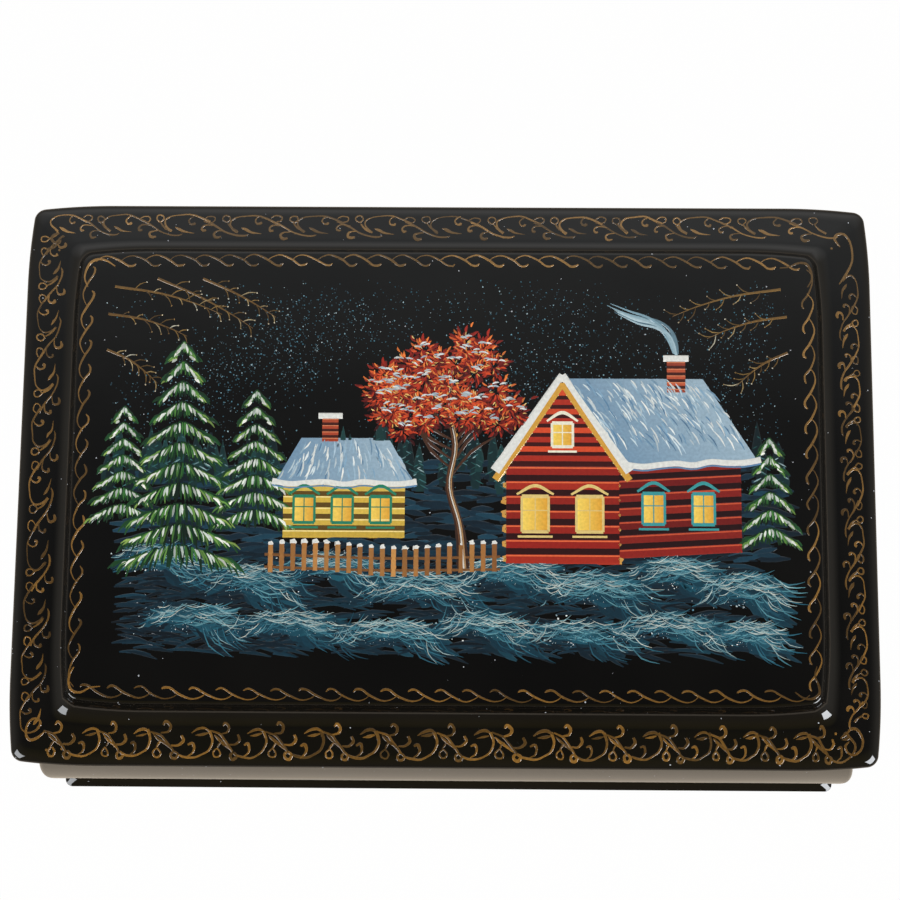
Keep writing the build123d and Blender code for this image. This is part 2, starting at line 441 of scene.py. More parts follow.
hinge_brass = make_metal("hinge_brass", (0.74, 0.54, 0.25), (0.50, 0.34, 0.14), 0.26)
brad_brass = make_metal("brad_brass", (0.78, 0.58, 0.28), (0.60, 0.42, 0.18), 0.16)
pin_steel = make_metal("pin_steel", (0.56, 0.56, 0.57), (0.40, 0.39, 0.38), 0.24)
print("Metals:", hinge_brass.name, brad_brass.name, pin_steel.name)

# %% [markdown]
# Gold on such a box is bronze powder in a binder, drawn with a very fine brush and sealed under the
# last coats of varnish. The picture is opaque paint under the same coats. Both take their colours
# from an attribute that each brush stroke carries, and the varnish is the shader's coat.


# %% Paints
def make_paint(name, metallic, roughness, streak_scale, streak_strength):
    """Paint in the colours of the strokes' own attribute, streaked by the brush, under clear varnish."""
    material, tree, shader, place = start_material(name)
    own = add_node(tree, "ShaderNodeAttribute", attribute_name="paint").outputs["Color"]
    streaks = {"Vector": place, "Scale": streak_scale, "Strength": streak_strength}
    factor = use_group(tree, streak_group, streaks)["Factor"]
    shade = add_node(tree, "ShaderNodeCombineColor", {"Red": factor, "Green": factor, "Blue": factor})
    colour = blend_colours(tree, 1.0, own, shade.outputs[0], "MULTIPLY")
    rough = calculate(tree, "MULTIPLY", factor, roughness)
    set_inputs(tree, shader, {"Base Color": colour, "Roughness": rough, "Metallic": metallic})
    set_inputs(tree, shader, {"Specular IOR Level": 0.1, "Coat Weight": 1.0, "Coat Roughness": 0.06})
    return material


gold_paint = make_paint("gold_paint", 0.35, 0.45, 2600.0, 0.7)
picture_paint = make_paint("picture_paint", 0.0, 0.55, 1900.0, 0.5)
print("Paints:", gold_paint.name, picture_paint.name)

# %% [markdown]
# ## Outlines
#
# The lid was sanded by hand, which softened its plan: a straight side runs into a long soft arc, then a
# small corner arc, then a long soft arc and the next side, tangent all the way. What is under the lid
# kept its straight sides. Both kinds of outline have the same number of points in the same order, so
# any two of them can be joined into a skin row by row.


# %% Where the points lie round a quarter of the outline
def steps_to(start, end, count):
    """Even steps from a start, which is left out, to an end."""
    return np.linspace(start, end, count + 1)[1:]


side_steps_x = 60
side_steps_y = 36
soft_steps = 9
corner_steps = 12

straight_y = np.linspace(0, 1, side_steps_y // 2 + 1)
straight_x = steps_to(1, 0, side_steps_x // 2)
soft_first = steps_to(0, soft_turn, soft_steps)
corner_arc = steps_to(soft_turn, math.pi / 2 - soft_turn, corner_steps)
soft_last = steps_to(math.pi / 2 - soft_turn, math.pi / 2, soft_steps)
quarter_sizes = [straight_y.size, soft_steps, corner_steps, soft_steps, straight_x.size]
quarter_kind = np.repeat([0, 0, 1, 2, 2], quarter_sizes)
quarter_share = np.concatenate([straight_y, np.ones(2 * soft_steps + corner_steps), straight_x])
quarter_angle = np.concatenate(
    [np.zeros(straight_y.size), soft_first, corner_arc, soft_last, np.full(straight_x.size, math.pi / 2)]
)
near_corner = 0.82
plain_share = np.concatenate(
    [
        np.linspace(0, near_corner, straight_y.size),
        steps_to(near_corner, 1, soft_steps),
        np.ones(corner_steps),
        steps_to(1, near_corner, soft_steps),
        steps_to(near_corner, 0, straight_x.size),
    ]
)
plain_angle = np.select([quarter_kind == 0, quarter_kind == 2], [0.0, math.pi / 2], -1.0)
plain_angle[quarter_kind == 1] = steps_to(0, math.pi / 2, corner_steps)
print("A quarter of an outline has", quarter_kind.size, "points")


# %% The outlines themselves
def outline_places(inset, radius):
    """The ends of the straight sides and the centres of the arcs, for insets and corner radii.
    From the middle of a side, a straight of (half side - reach) is followed by an arc of the soft
    radius less the inset, and the corner arc's centre lies back along that arc's last radius."""
    long_radius = soft_radius - inset
    reach = long_radius * (math.sin(soft_turn) + 1 - math.cos(soft_turn))
    reach = reach + radius * (math.cos(soft_turn) - math.sin(soft_turn))
    side_x = lid_length / 2 - inset
    side_y = lid_width / 2 - inset
    end_x = side_x - reach
    end_y = side_y - reach
    corner_x = side_x - long_radius + (long_radius - radius) * math.cos(soft_turn)
    corner_y = end_y + (long_radius - radius) * math.sin(soft_turn)
    return long_radius, side_x, side_y, end_x, end_y, corner_x, corner_y


def all_round(quarter):
    """A quarter of an outline mirrored into all four."""
    mirrored = quarter[:, :0:-1]
    runs = [quarter[:, :-1], mirrored * (-1, 1), -quarter[:, :-1], mirrored * (1, -1)]
    return np.concatenate(runs, axis=1)


def outlines(inset, radius):
    """Rows of points round the lid, one row for each inset and corner radius. Each point is its arc's
    centre plus the arc's radius along the outward angle."""
    inset = np.asarray(inset, float)[:, None]
    radius = np.asarray(radius, float)[:, None]
    long_radius, side_x, side_y, end_x, end_y, corner_x, corner_y = outline_places(inset, radius)
    kinds = [quarter_kind == 0, quarter_kind == 1, quarter_kind == 2]
    centre_x = np.select(kinds, [side_x - long_radius, corner_x, quarter_share * end_x])
    centre_y = np.select(kinds, [quarter_share * end_y, corner_y, side_y - long_radius])
    own_radius = np.where(quarter_kind == 1, radius, long_radius)
    x = centre_x + own_radius * np.cos(quarter_angle)
    y = centre_y + own_radius * np.sin(quarter_angle)
    return all_round(np.stack([x, y], axis=2))


def plain_outlines(inset, radius):
    """The same rows for the parts under the lid, with straight sides that end at round corners."""
    radius = np.asarray(radius, float)[:, None]
    half_x = lid_length / 2 - np.asarray(inset, float)[:, None] - radius
    half_y = lid_width / 2 - np.asarray(inset, float)[:, None] - radius
    x = half_x * np.where(quarter_kind == 2, plain_share, 1) + radius * np.cos(plain_angle)
    y = half_y * np.where(quarter_kind == 0, plain_share, 1) + radius * np.sin(plain_angle)
    return all_round(np.stack([x, y], axis=2))


print("The widest outline is", np.ptp(outlines([0], [lid_corner_radius])[0], axis=0), "mm")


# %% Joining rows into a skin
def skin(row_count, column_count, closed_rows=False):
    """The four-sided faces between rows of points that each run once round the box."""
    rows = np.arange(row_count if closed_rows else row_count - 1)[:, None]
    columns = np.arange(column_count)[None, :]
    next_rows = (rows + 1) % row_count
    next_columns = (columns + 1) % column_count
    corners = [
        rows * column_count + columns,
        next_rows * column_count + columns,
        next_rows * column_count + next_columns,
        rows * column_count + next_columns,
    ]
    return np.stack(corners, axis=2).reshape(-1, 4)


def quarter_curve(width, height, steps):
    """A quarter ellipse from an upright start to a level end, as widths and heights."""
    angle = np.linspace(0, math.pi / 2, steps + 1)
    return width * (1 - np.cos(angle)), height * np.sin(angle)


def headings(angles):
    """Steps of length one along angles in a plane."""
    return np.stack([np.cos(angles), np.sin(angles)], axis=1)


def raise_rows(plan, heights):
    """The points of a skin from its rows of plan points and one height for each row."""
    return np.dstack([plan, np.broadcast_to(heights[:, None], plan.shape[:2])]).reshape(-1, 3)


print("Three rows of four points make", len(skin(3, 4)), "faces")

# %% [markdown]
# ## Lid
#
# The lid is pressed and then planed: a round edge, a nearly flat band for the gilded border, a hollow
# step with a sharp shoulder, and a raised panel. It could be extruded and bevelled, but its section
# is a known moulding, so it is worked out as a height over the inset and carried round the outlines.
# A hand-finished lid is never quite flat or straight, and mirrored light shows that at once, so a
# wave of a few hundredths of a millimetre runs over it. The gilding and the paint use the same
# height, so they lie on it everywhere, and the lacquer lies lower by as much as they need.

# %% The section of the lid
edge_round_width = 2.2
edge_round_height = 1.2
band_rise = 0.25
shoulder_inset = step_inset + step_width
paint_room = 0.15


def lid_section(inset):
    """The height of the lid's top over its underside at an inset: a round quarter ellipse at the edge, a
    slightly rising band, a hollow quarter ellipse that ends upright, and a small round one on top."""
    into_round = np.clip((edge_round_width - inset) / edge_round_width, 0, 1)
    height = lid_edge_height + edge_round_height * np.sqrt(1 - into_round**2)
    height = height + band_rise * np.clip((inset - edge_round_width) / (step_inset - edge_round_width), 0, 1)
    into_step = np.clip((inset - step_inset) / step_width, 0, 1)
    height = height + step_height * (1 - np.sqrt(1 - into_step**2))
    to_panel = np.clip((panel_inset - inset) / (panel_inset - shoulder_inset), 0, 1)
    return height + panel_ease_height * np.sqrt(1 - to_panel**2)


def hand_wave(x, y):
    """The faint unevenness of the lid, never above the true height: crossed waves of long sines."""
    long_wave = np.sin(x / 19 + 0.6) * np.sin(y / 15 + 1.9)
    short_wave = np.sin(x / 7.7 + y / 23) * np.sin(y / 9.1 - x / 31 + 0.7)
    return 0.022 * long_wave + 0.006 * short_wave - 0.028 - paint_room


panel_height = lid_bottom + float(lid_section(panel_inset))
print("The panel is", round(panel_height, 2), "mm above the table")


# %% The lid's corner radius and its height at any place
def lid_radius(inset):
    """The corner radius goes evenly from the edge's to the panel's."""
    return lid_corner_radius + (panel_corner_radius - lid_corner_radius) * np.clip(inset / panel_inset, 0, 1)


def lies_outside(x, y, inset):
    """Whether plan points lie outside the outline of an inset. In the corner that is a distance from the
    corner arc's centre, and elsewhere the larger distance past the two sides or their soft arcs."""
    radius = lid_radius(inset)
    long_radius, side_x, side_y, end_x, end_y, corner_x, corner_y = outline_places(inset, radius)
    angle = np.arctan2(y - corner_y, x - corner_x)
    in_corner = (angle > soft_turn) & (angle < math.pi / 2 - soft_turn)
    past_corner = np.hypot(x - corner_x, y - corner_y) - radius
    past_x = np.where(y > end_y, np.hypot(x - side_x + long_radius, y - end_y) - long_radius, x - side_x)
    past_y = np.where(x > end_x, np.hypot(x - end_x, y - side_y + long_radius) - long_radius, y - side_y)
    return np.where(in_corner, past_corner, np.maximum(past_x, past_y)) > 0


def lid_inset(x, y):
    """The inset of plan points on the lid, found by halving: 26 halvings are exact enough."""
    x, y = np.abs(x), np.abs(y)
    low = np.zeros_like(x)
    high = np.full_like(x, panel_inset)
    for _ in range(26):
        middle = (low + high) / 2
        outside = lies_outside(x, y, middle)
        high = np.where(outside, middle, high)
        low = np.where(outside, low, middle)
    return (low + high) / 2


def lid_height(x, y):
    """The height of the lid's surface above the table at plan points."""
    height = np.full(x.shape, panel_height)
    near_edge = (np.abs(x) > lid_length / 2 - panel_inset - 2) | (np.abs(y) > lid_width / 2 - panel_inset - 2)
    height[near_edge] = lid_bottom + lid_section(lid_inset(x[near_edge], y[near_edge]))
    return height + hand_wave(x, y)


print("At the band's middle the lid is", lid_height(np.array([0.0]), np.array([45.7])).round(2), "mm up")

# %% [markdown]
# The rows of the lid's skin start at the middle of the panel, run out over the step, the band and
# the edge, turn under it, and come back through the hollow to the middle of its ceiling.

# %% The rows of the lid
panel_rows = 20
ceiling_rows = 12
lid_under_inset = 0.9
hollow_top = 61.3
hollow_round = 0.8
pocket_rows = 6
edge_inset, edge_drop = quarter_curve(lid_under_inset, lid_edge_height, 7)
round_inset, _ = quarter_curve(edge_round_width, edge_round_height, 9)
top_inset = np.concatenate(
    [
        panel_inset - (panel_inset - shoulder_inset) * np.sin(np.linspace(0, math.pi / 2, 9)),
        step_inset + step_width * np.sin(np.linspace(math.pi / 2, 0, 37))[1:],
        np.linspace(step_inset, edge_round_width, 9)[1:],
        round_inset[-2::-1],
    ]
)
ceiling_height = hollow_top - lid_bottom
pocket_height = np.linspace(0.3, ceiling_height - hollow_round, pocket_rows)
cove_inset, cove_rise = quarter_curve(hollow_round, hollow_round, 5)
flat_inset = [3.5, 6.5, 9.0, pocket_inset]
under_inset = np.concatenate(
    [edge_inset[1:], flat_inset, np.full(pocket_rows, pocket_inset), pocket_inset + cove_inset[1:]]
)
under_height = np.concatenate(
    [
        lid_edge_height - edge_drop[1:],
        np.zeros(len(flat_inset)),
        pocket_height,
        ceiling_height - hollow_round + cove_rise[1:],
    ]
)

top_plan = outlines(top_inset, lid_radius(top_inset))
edge_rows = edge_inset.size - 1
edge_plan = outlines(under_inset[:edge_rows], lid_radius(under_inset[:edge_rows]))
hollow_plan = plain_outlines(under_inset[edge_rows:], np.full(under_inset.size - edge_rows, cavity_radius))
under_plan = np.concatenate([edge_plan, hollow_plan])
panel_shares = np.linspace(0, 1, panel_rows + 1)[1:-1, None, None]
ceiling_shares = np.linspace(1, 0, ceiling_rows + 1)[1:-1, None, None]
panel_plan, ceiling_plan = top_plan[:1] * panel_shares, under_plan[-1:] * ceiling_shares
lid_plan = np.concatenate([panel_plan, top_plan, under_plan, ceiling_plan])
column_count = lid_plan.shape[1]
print("The lid's skin has", lid_plan.shape[0], "rows of", column_count, "points")

# %% The lid's points and faces
top_rows = panel_rows - 1 + top_inset.size
top_height = np.concatenate([np.full(panel_rows - 1, panel_height), lid_bottom + lid_section(top_inset)])
lid_top = top_height[:, None] + hand_wave(lid_plan[:top_rows, :, 0], lid_plan[:top_rows, :, 1])
ceiling_z = lid_bottom + ceiling_height
low_height = np.concatenate([lid_bottom + under_height, np.full(ceiling_rows - 1, ceiling_z)])
lid_low = np.broadcast_to(low_height[:, None], (low_height.size, column_count))
lid_z = np.concatenate([lid_top, lid_low])

lid_points = np.dstack([lid_plan, lid_z]).reshape(-1, 3)
poles = np.array([[0, 0, panel_height + hand_wave(0, 0)], [0, 0, ceiling_z]])
top_pole = len(lid_points)
last_row = top_pole - column_count
around = np.arange(column_count)
after = (around + 1) % column_count
lid_faces = skin(lid_plan.shape[0], column_count).tolist()
for corners in ((top_pole, around, after), (last_row + around, top_pole + 1, last_row + after)):
    lid_faces += np.column_stack(np.broadcast_arrays(*corners)).tolist()
inside_from_row = top_rows + edge_rows + 3
face_rows = np.repeat(np.arange(lid_plan.shape[0] - 1), column_count)
lid_face_materials = np.concatenate([face_rows >= inside_from_row, np.repeat([0, 1], column_count)])
lacquers = [black_lacquer, red_lacquer]
lid = make_piece("painted_lid", np.concatenate([lid_points, poles]), lid_faces, lacquers, lid_face_materials)

# %% [markdown]
# ## Walls and plinth
#
# The walls of such a box are a wound tube of glued card. Their outside swells, widest half way up,
# and that swell is the pale strip below the lid in the photograph: it mirrors the white ground at a
# grazing angle. That strip ends further in than the front of the lid would have it, so the two end
# walls stand back a little more. The section is a closed loop of insets and heights, carried round.

# %% The walls
swell_inset = 0.55
foot_inset = 4.3
mouth_inset = 4.2
wall_corner_radius = 0.9
rim_round = 0.35
rim_flat = 1.8
foot_flat = 2.0
rim_steps = 4
cavity_rows = 9
swell_rows = 44
swell_power = 1.75
further_in = 1.5

rise = np.linspace(1, 0, swell_rows)
lean = 2 * rise - 1
end_inset = np.where(lean < 0, foot_inset, mouth_inset)
outside_inset = swell_inset + (end_inset - swell_inset) * np.abs(lean) ** swell_power
outside_height = wall_bottom + rise * wall_height
rim_width, rim_drop = quarter_curve(rim_round, rim_round, rim_steps)
outside_keep = outside_height < wall_top - rim_round
wall_inset = np.concatenate(
    [
        [mouth_inset + rim_flat, mouth_inset + rim_round],
        (mouth_inset + rim_width)[-2::-1],
        outside_inset[outside_keep],
        [foot_inset + foot_flat, cavity_inset],
        np.full(cavity_rows, cavity_inset),
        (cavity_inset - rim_width)[1:],
    ]
)
wall_z = np.concatenate(
    [
        [wall_top, wall_top],
        (wall_top - rim_round + rim_drop)[-2::-1],
        outside_height[outside_keep],
        [wall_bottom, wall_bottom],
        steps_to(wall_bottom, wall_top - rim_round, cavity_rows),
        (wall_top - rim_round + rim_drop)[1:],
    ]
)
middle_inset = (mouth_inset + cavity_inset) / 2
wall_radius = np.where(wall_inset > middle_inset, cavity_radius, wall_corner_radius)
wall_plan = plain_outlines(wall_inset, wall_radius)
from_cavity = np.clip((cavity_inset - wall_inset) / (cavity_inset - mouth_inset), 0, 1)[:, None]
end_scale = 1 - from_cavity * further_in / (lid_length / 2 - wall_inset[:, None])
wall_plan[..., 0] *= end_scale
wall_points = raise_rows(wall_plan, wall_z)
inner_row = 2 + rim_steps + int(outside_keep.sum()) + 1
face_rows = np.repeat(np.arange(wall_z.size), column_count)
wall_face_materials = (face_rows >= inner_row) & (face_rows < inner_row + cavity_rows)
wall_faces = skin(wall_z.size, column_count, closed_rows=True).tolist()
walls = make_piece("swelling_walls", wall_points, wall_faces, lacquers, wall_face_materials)

# %% [markdown]
# The plinth is a low frame that stands out past the foot of the walls. Seen from above it is black
# right to its edge, so its top falls ever faster outwards but never so steeply that it would mirror
# the pale ground, and then turns down sharply. Its side leans in a little towards the foot, so that it
# hides below the edge. It is one more closed section carried round.

# %% The plinth
plinth_height = 7.0
plinth_inset = 1.15
plinth_further_in = 0.75
plinth_fall_width = 2.2
plinth_fall = 0.95
plinth_edge_round = 0.08
plinth_corner_radius = 1.4
plinth_opening_inset = 12.0
plinth_undercut = 0.6
plinth_opening_radius = 2.0
opening_ease = 0.4
side_foot = 2.2
foot_ease = 0.5

inwards = np.linspace(1, 0, 12)
fall_inset = plinth_inset + plinth_edge_round + inwards * plinth_fall_width
fall_z = plinth_height - plinth_fall * (1 - inwards) ** 2
edge_turn_inset, edge_turn_rise = quarter_curve(plinth_edge_round, plinth_edge_round, 4)
ease_inset, ease_rise = quarter_curve(foot_ease, foot_ease, 3)
plinth_insets = np.concatenate(
    [
        [6.5],
        fall_inset,
        (plinth_inset + edge_turn_inset)[-2::-1],
        [plinth_inset + plinth_undercut, plinth_inset + plinth_undercut],
        plinth_inset + plinth_undercut + ease_inset[1:],
        [5.5, plinth_opening_inset, plinth_opening_inset, plinth_opening_inset],
        [plinth_opening_inset - opening_ease],
    ]
)
plinth_z = np.concatenate(
    [
        [plinth_height],
        fall_z,
        (fall_z[-1] - plinth_edge_round + edge_turn_rise)[-2::-1],
        [side_foot, foot_ease],
        foot_ease - ease_rise[1:],
        [0.0, 0.0, plinth_height / 2, plinth_height - opening_ease, plinth_height],
    ]
)
plinth_radius = np.where(plinth_insets > 6, plinth_opening_radius, plinth_corner_radius)
plinth_plan = plain_outlines(plinth_insets, plinth_radius)
plinth_plan[..., 0] *= 1 - plinth_further_in / (lid_length / 2 - plinth_inset)
plinth_points = raise_rows(plinth_plan, plinth_z)
plinth_faces = skin(plinth_z.size, column_count, closed_rows=True).tolist()
plinth = make_piece("foot_plinth", plinth_points, plinth_faces, [black_lacquer])

# %% [markdown]
# ## Rooms for the hinges
#
# Each hinge is let into the top of the back wall and into the lid's underside, and its knuckles need
# a round room below the overhang. Both are cut with Booleans, by a bar and a rod as long as the
# hinge and a little more.

# %% Cut the rooms
hinge_places = (-45.0, 45.0)
hinge_half = 8.0
leaf_clearance = 0.05
leaf_thickness = 0.8
leaf_depth = 3.9
pivot_y = 47.0
pivot_z = 56.3
pivot_out = 1.0
knuckle_room = 1.45
knuckle_end_room = 0.25


def prism(name, section, x_low, x_high):
    """A solid between two X places from a section of (y, z) points that runs anticlockwise seen from +X."""
    count = len(section)
    ends = [np.column_stack([np.full(count, x), section]) for x in (x_low, x_high)]
    around = np.arange(count)
    after = (around + 1) % count
    faces = np.stack([around, after, after + count, around + count], axis=1)[:, ::-1].tolist()
    faces += [list(range(count))[::-1], list(range(count, 2 * count))]
    return make_piece(name, np.concatenate(ends), faces, [black_lacquer])


cutters = []
turns = np.linspace(0, 2 * math.pi, 41)[:-1]
for middle in hinge_places:
    low, high = wall_top - leaf_thickness, lid_bottom + leaf_thickness
    leaf_end = pivot_y - pivot_out - leaf_depth - leaf_clearance
    bar_section = np.array([[leaf_end, low], [pivot_y, low], [pivot_y, high], [leaf_end, high]])
    bar_half = hinge_half + leaf_clearance
    cutters.append(prism("leaf_room", bar_section, middle - bar_half, middle + bar_half))
    rod_section = (pivot_y, pivot_z) + knuckle_room * headings(turns)
    rod_half = hinge_half + knuckle_end_room
    cutters.append(prism("knuckle_room", rod_section, middle - rod_half, middle + rod_half))


def carve(piece, tools, sharp_angle):
    """Cuts the tools out of a piece, keeps the result as its mesh, and marks its true edges."""
    for tool in tools:
        cut = piece.modifiers.new("room", "BOOLEAN")
        cut.operation = "DIFFERENCE"
        cut.solver = "EXACT"
        cut.object = tool
    graph = bpy.context.evaluated_depsgraph_get()
    result = bpy.data.meshes.new_from_object(piece.evaluated_get(graph))
    piece.modifiers.clear()
    piece.data = result
    result.shade_smooth()
    result.set_sharp_from_angle(angle=sharp_angle)
    print(piece.name, "has", len(result.polygons), "faces once carved")


carve(lid, cutters, math.radians(35))
carve(walls, cutters, math.radians(35))
plinth.data.set_sharp_from_angle(angle=math.radians(35))
for cutter in cutters:
    bpy.data.objects.remove(cutter)

# %% Hand the big pieces to their bodies
for piece, body, node in (
    (lid, "lid", "lid_shell"),
    (walls, "box", "wall_shell"),
    (plinth, "box", "plinth_frame"),
):
    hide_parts(node)
    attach(piece, body)
print("Three pieces replace their CAD nodes")

# %% [markdown]
# ## Paint, stroke by stroke
#
# On the real lid, gold and colours stand on the lacquer as a thin relief of separate brush strokes.
# An image could be laid over the lid, but real strokes catch the light at their edges and stay sharp
# from near by. So each stroke is a thin closed slab: a smooth curve through a few points, with a width
# that swells and fades, bevelled at both edges and a few hundredths of a millimetre high.

# %% Colours of paint
dice = np.random.default_rng(11)


def linear(colours):
    """Colours from 0 to 255 as shown on a screen, turned into the linear values that shaders use."""
    shown = np.clip(np.asarray(colours, float) / 255, 0, 1)
    return np.where(shown < 0.04045, shown / 12.92, ((shown + 0.055) / 1.055) ** 2.4)


def tints(stops, shares, spread=0.1):
    """Colours at shares of the way through a row of stops, each a little lighter or darker by chance."""
    stops = np.array(stops, float)
    places = np.asarray(shares) * (len(stops) - 1)
    mixed = np.stack([np.interp(places, np.arange(len(stops)), channel) for channel in stops.T], axis=-1)
    return linear(mixed * (1 + spread * dice.uniform(-1, 1, mixed.shape[:-1])[..., None]))


def any_tints(stops, count, spread=0.1, power=1.0):
    """Colours at chance shares of the way through the stops. A power over 1 favours the first stops."""
    return tints(stops, dice.uniform(0, 1, count) ** power, spread)


print("A middle grey is", linear(128).round(3), "for a shader")

# %% Curves and slabs
paint_sink = 0.01
first_lift = 0.02
layer_lift = 0.011
across_stroke = np.array([0.0, 0.16, 0.84, 1.0])
thinnest = 0.05


def smooth_lines(controls, steps):
    """Catmull-Rom curves through rows of control points, each curve with the same number of steps."""
    before = 2 * controls[:, :1] - controls[:, 1:2]
    beyond = 2 * controls[:, -1:] - controls[:, -2:-1]
    padded = np.concatenate([before, controls, beyond], axis=1)
    place = np.linspace(0, controls.shape[1] - 1, steps)
    first = np.minimum(place.astype(int), controls.shape[1] - 2)
    t = (place - first)[None, :, None]
    a, b, c, d = (padded[:, first + ahead] for ahead in range(4))
    return (2 * b + (c - a) * t + (2 * a - 5 * b + 4 * c - d) * t**2 + (3 * b - a - 3 * c + d) * t**3) / 2


def slabs(right, left, colours, layers, shares=across_stroke):
    """Closed slabs between right and left edges: points run round each section, sunk into the lacquer
    at the edges and lifted by their layer between them. The faces are sides, then two caps."""
    share = shares[None, None, :, None]
    plan = right[:, :, None] * (1 - share) + left[:, :, None] * share
    count, rows, columns = plan.shape[:3]
    lift = first_lift + layer_lift * np.broadcast_to(layers, count) + dice.uniform(-0.005, 0.005, count)
    edge = (shares == 0) | (shares == 1)
    z = lid_height(plan[..., 0], plan[..., 1]) + np.where(edge, -paint_sink, lift[:, None, None])
    colours = colours[:, :, None] if colours.ndim == 3 else colours[:, None, None]
    number = np.arange(count * rows * columns).reshape(count, rows, columns)
    low, high = number[:, :-1], number[:, 1:]
    sides = np.stack([low, high, np.roll(high, -1, axis=2), np.roll(low, -1, axis=2)], axis=3)
    faces = [sides.reshape(-1, 4), number[:, 0], number[:, -1, ::-1]]
    points = np.concatenate([plan, z[..., None]], axis=3)
    return points.reshape(-1, 3), np.broadcast_to(colours, points.shape).reshape(-1, 3), faces


print("A stroke is", first_lift, "mm high and each layer adds", layer_lift, "mm")


# %% Strokes, dabs, patches and specks
def strokes(lines, widths, colours, layers, steps=8):
    """Brush strokes along curves through control points, with a width at each control point."""
    widths = np.broadcast_to(widths, lines.shape[:2])
    colours = np.broadcast_to(colours, (len(lines), 3))
    curves = smooth_lines(np.dstack([lines, widths]), steps)
    way = np.gradient(curves[..., :2], axis=1)
    way = way / np.maximum(np.linalg.norm(way, axis=2, keepdims=True), 1e-9)
    to_edge = np.stack([-way[..., 1], way[..., 0]], axis=2) * np.maximum(curves[..., 2:], thinnest) / 2
    return slabs(curves[..., :2] - to_edge, curves[..., :2] + to_edge, colours, layers)


def dabs(places, angles, lengths, widths, colours, layers, bend=0.0):
    """Short strokes from their places along their angles, bent to one side, thickest in the middle."""
    way = headings(angles) * np.broadcast_to(lengths, len(places))[:, None]
    side = np.stack([-way[:, 1], way[:, 0]], axis=1) * np.broadcast_to(bend, len(places))[:, None]
    lines = np.stack([places, places + way / 2 + side, places + way], axis=1)
    swell = np.broadcast_to(widths, len(places))[:, None] * np.array([0.4, 1.0, 0.25])
    return strokes(lines, swell, colours, layers, 5)


def patch(first, second, colour, layer, steps=20, columns=9, end_colour=None):
    """One filled shape between two curves through points, turned so that its first edge is its right."""
    first, second = (smooth_lines(np.array([edge], float), steps) for edge in (first, second))
    way, gap = np.gradient(first, axis=1), second - first
    turn = (way[..., 0] * gap[..., 1] - way[..., 1] * gap[..., 0]).sum()
    right, left = (first, second) if turn > 0 else (second, first)
    fade = np.linspace(0, 1, steps)[None, :, None]
    colours = linear(colour) * (1 - fade) + linear(colour if end_colour is None else end_colour) * fade
    return slabs(right, left, colours, layer, np.linspace(0, 1, columns))


def specks(places, sizes, colours, layer):
    """Tiny five-sided mounds."""
    sizes = np.broadcast_to(sizes, len(places))[:, None, None]
    colours = np.broadcast_to(colours, (len(places), 3))
    turns = np.linspace(0, 2 * math.pi, 6)[:-1]
    rim = places[:, None] + sizes * headings(turns)
    plan = np.concatenate([rim, places[:, None]], axis=1)
    lift = np.where(np.arange(6) == 5, first_lift + layer_lift * layer, -paint_sink)
    z = lid_height(plan[..., 0], plan[..., 1]) + lift
    number = np.arange(len(places) * 6).reshape(-1, 6)
    ring, top = number[:, :5], np.repeat(number[:, 5:], 5, axis=1)
    faces = [np.stack([ring, np.roll(ring, -1, axis=1), top], axis=2).reshape(-1, 3), ring[:, ::-1]]
    return np.dstack([plan, z]).reshape(-1, 3), np.repeat(colours, 6, axis=0), faces


def scatter(count, x_range, y_range):
    """Places by chance in a rectangle."""
    return np.stack([dice.uniform(*x_range, count), dice.uniform(*y_range, count)], axis=1)


print("Each stroke is sunk", paint_sink, "mm into the lacquer at its edges")


# %% A piece made of strokes
def paint_piece(name, batches, material):
    """One piece from many batches of strokes. Each point carries its paint's colour."""
    starts = np.cumsum([0] + [len(points) for points, _, _ in batches])
    faces = []
    for start, (_, _, groups) in zip(starts.tolist(), batches):
        for group in groups:
            faces += (group + start).tolist()
    points = np.concatenate([points for points, _, _ in batches])
    colours = np.ones((len(points), 4), dtype=np.float32)
    colours[:, :3] = np.concatenate([tint for _, tint, _ in batches])
    piece = make_piece(name, points, faces, [material])
    piece.data.attributes.new("paint", "FLOAT_COLOR", "POINT").data.foreach_set("color", colours.ravel())
    piece.data.shade_flat()
    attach(piece, "lid")


print("Painted pieces ride the lid")

# %% [markdown]
# ## Gold vine on the band
#
# A vine of bronze gold runs clockwise round the band. Its unit is a sweeping arc, a diagonal that
# leads to the next unit, and small hooks, eyes and leaves between them. The hand never repeated
# it exactly, so every unit has its own length, and each stroke moves and swells a little by chance.

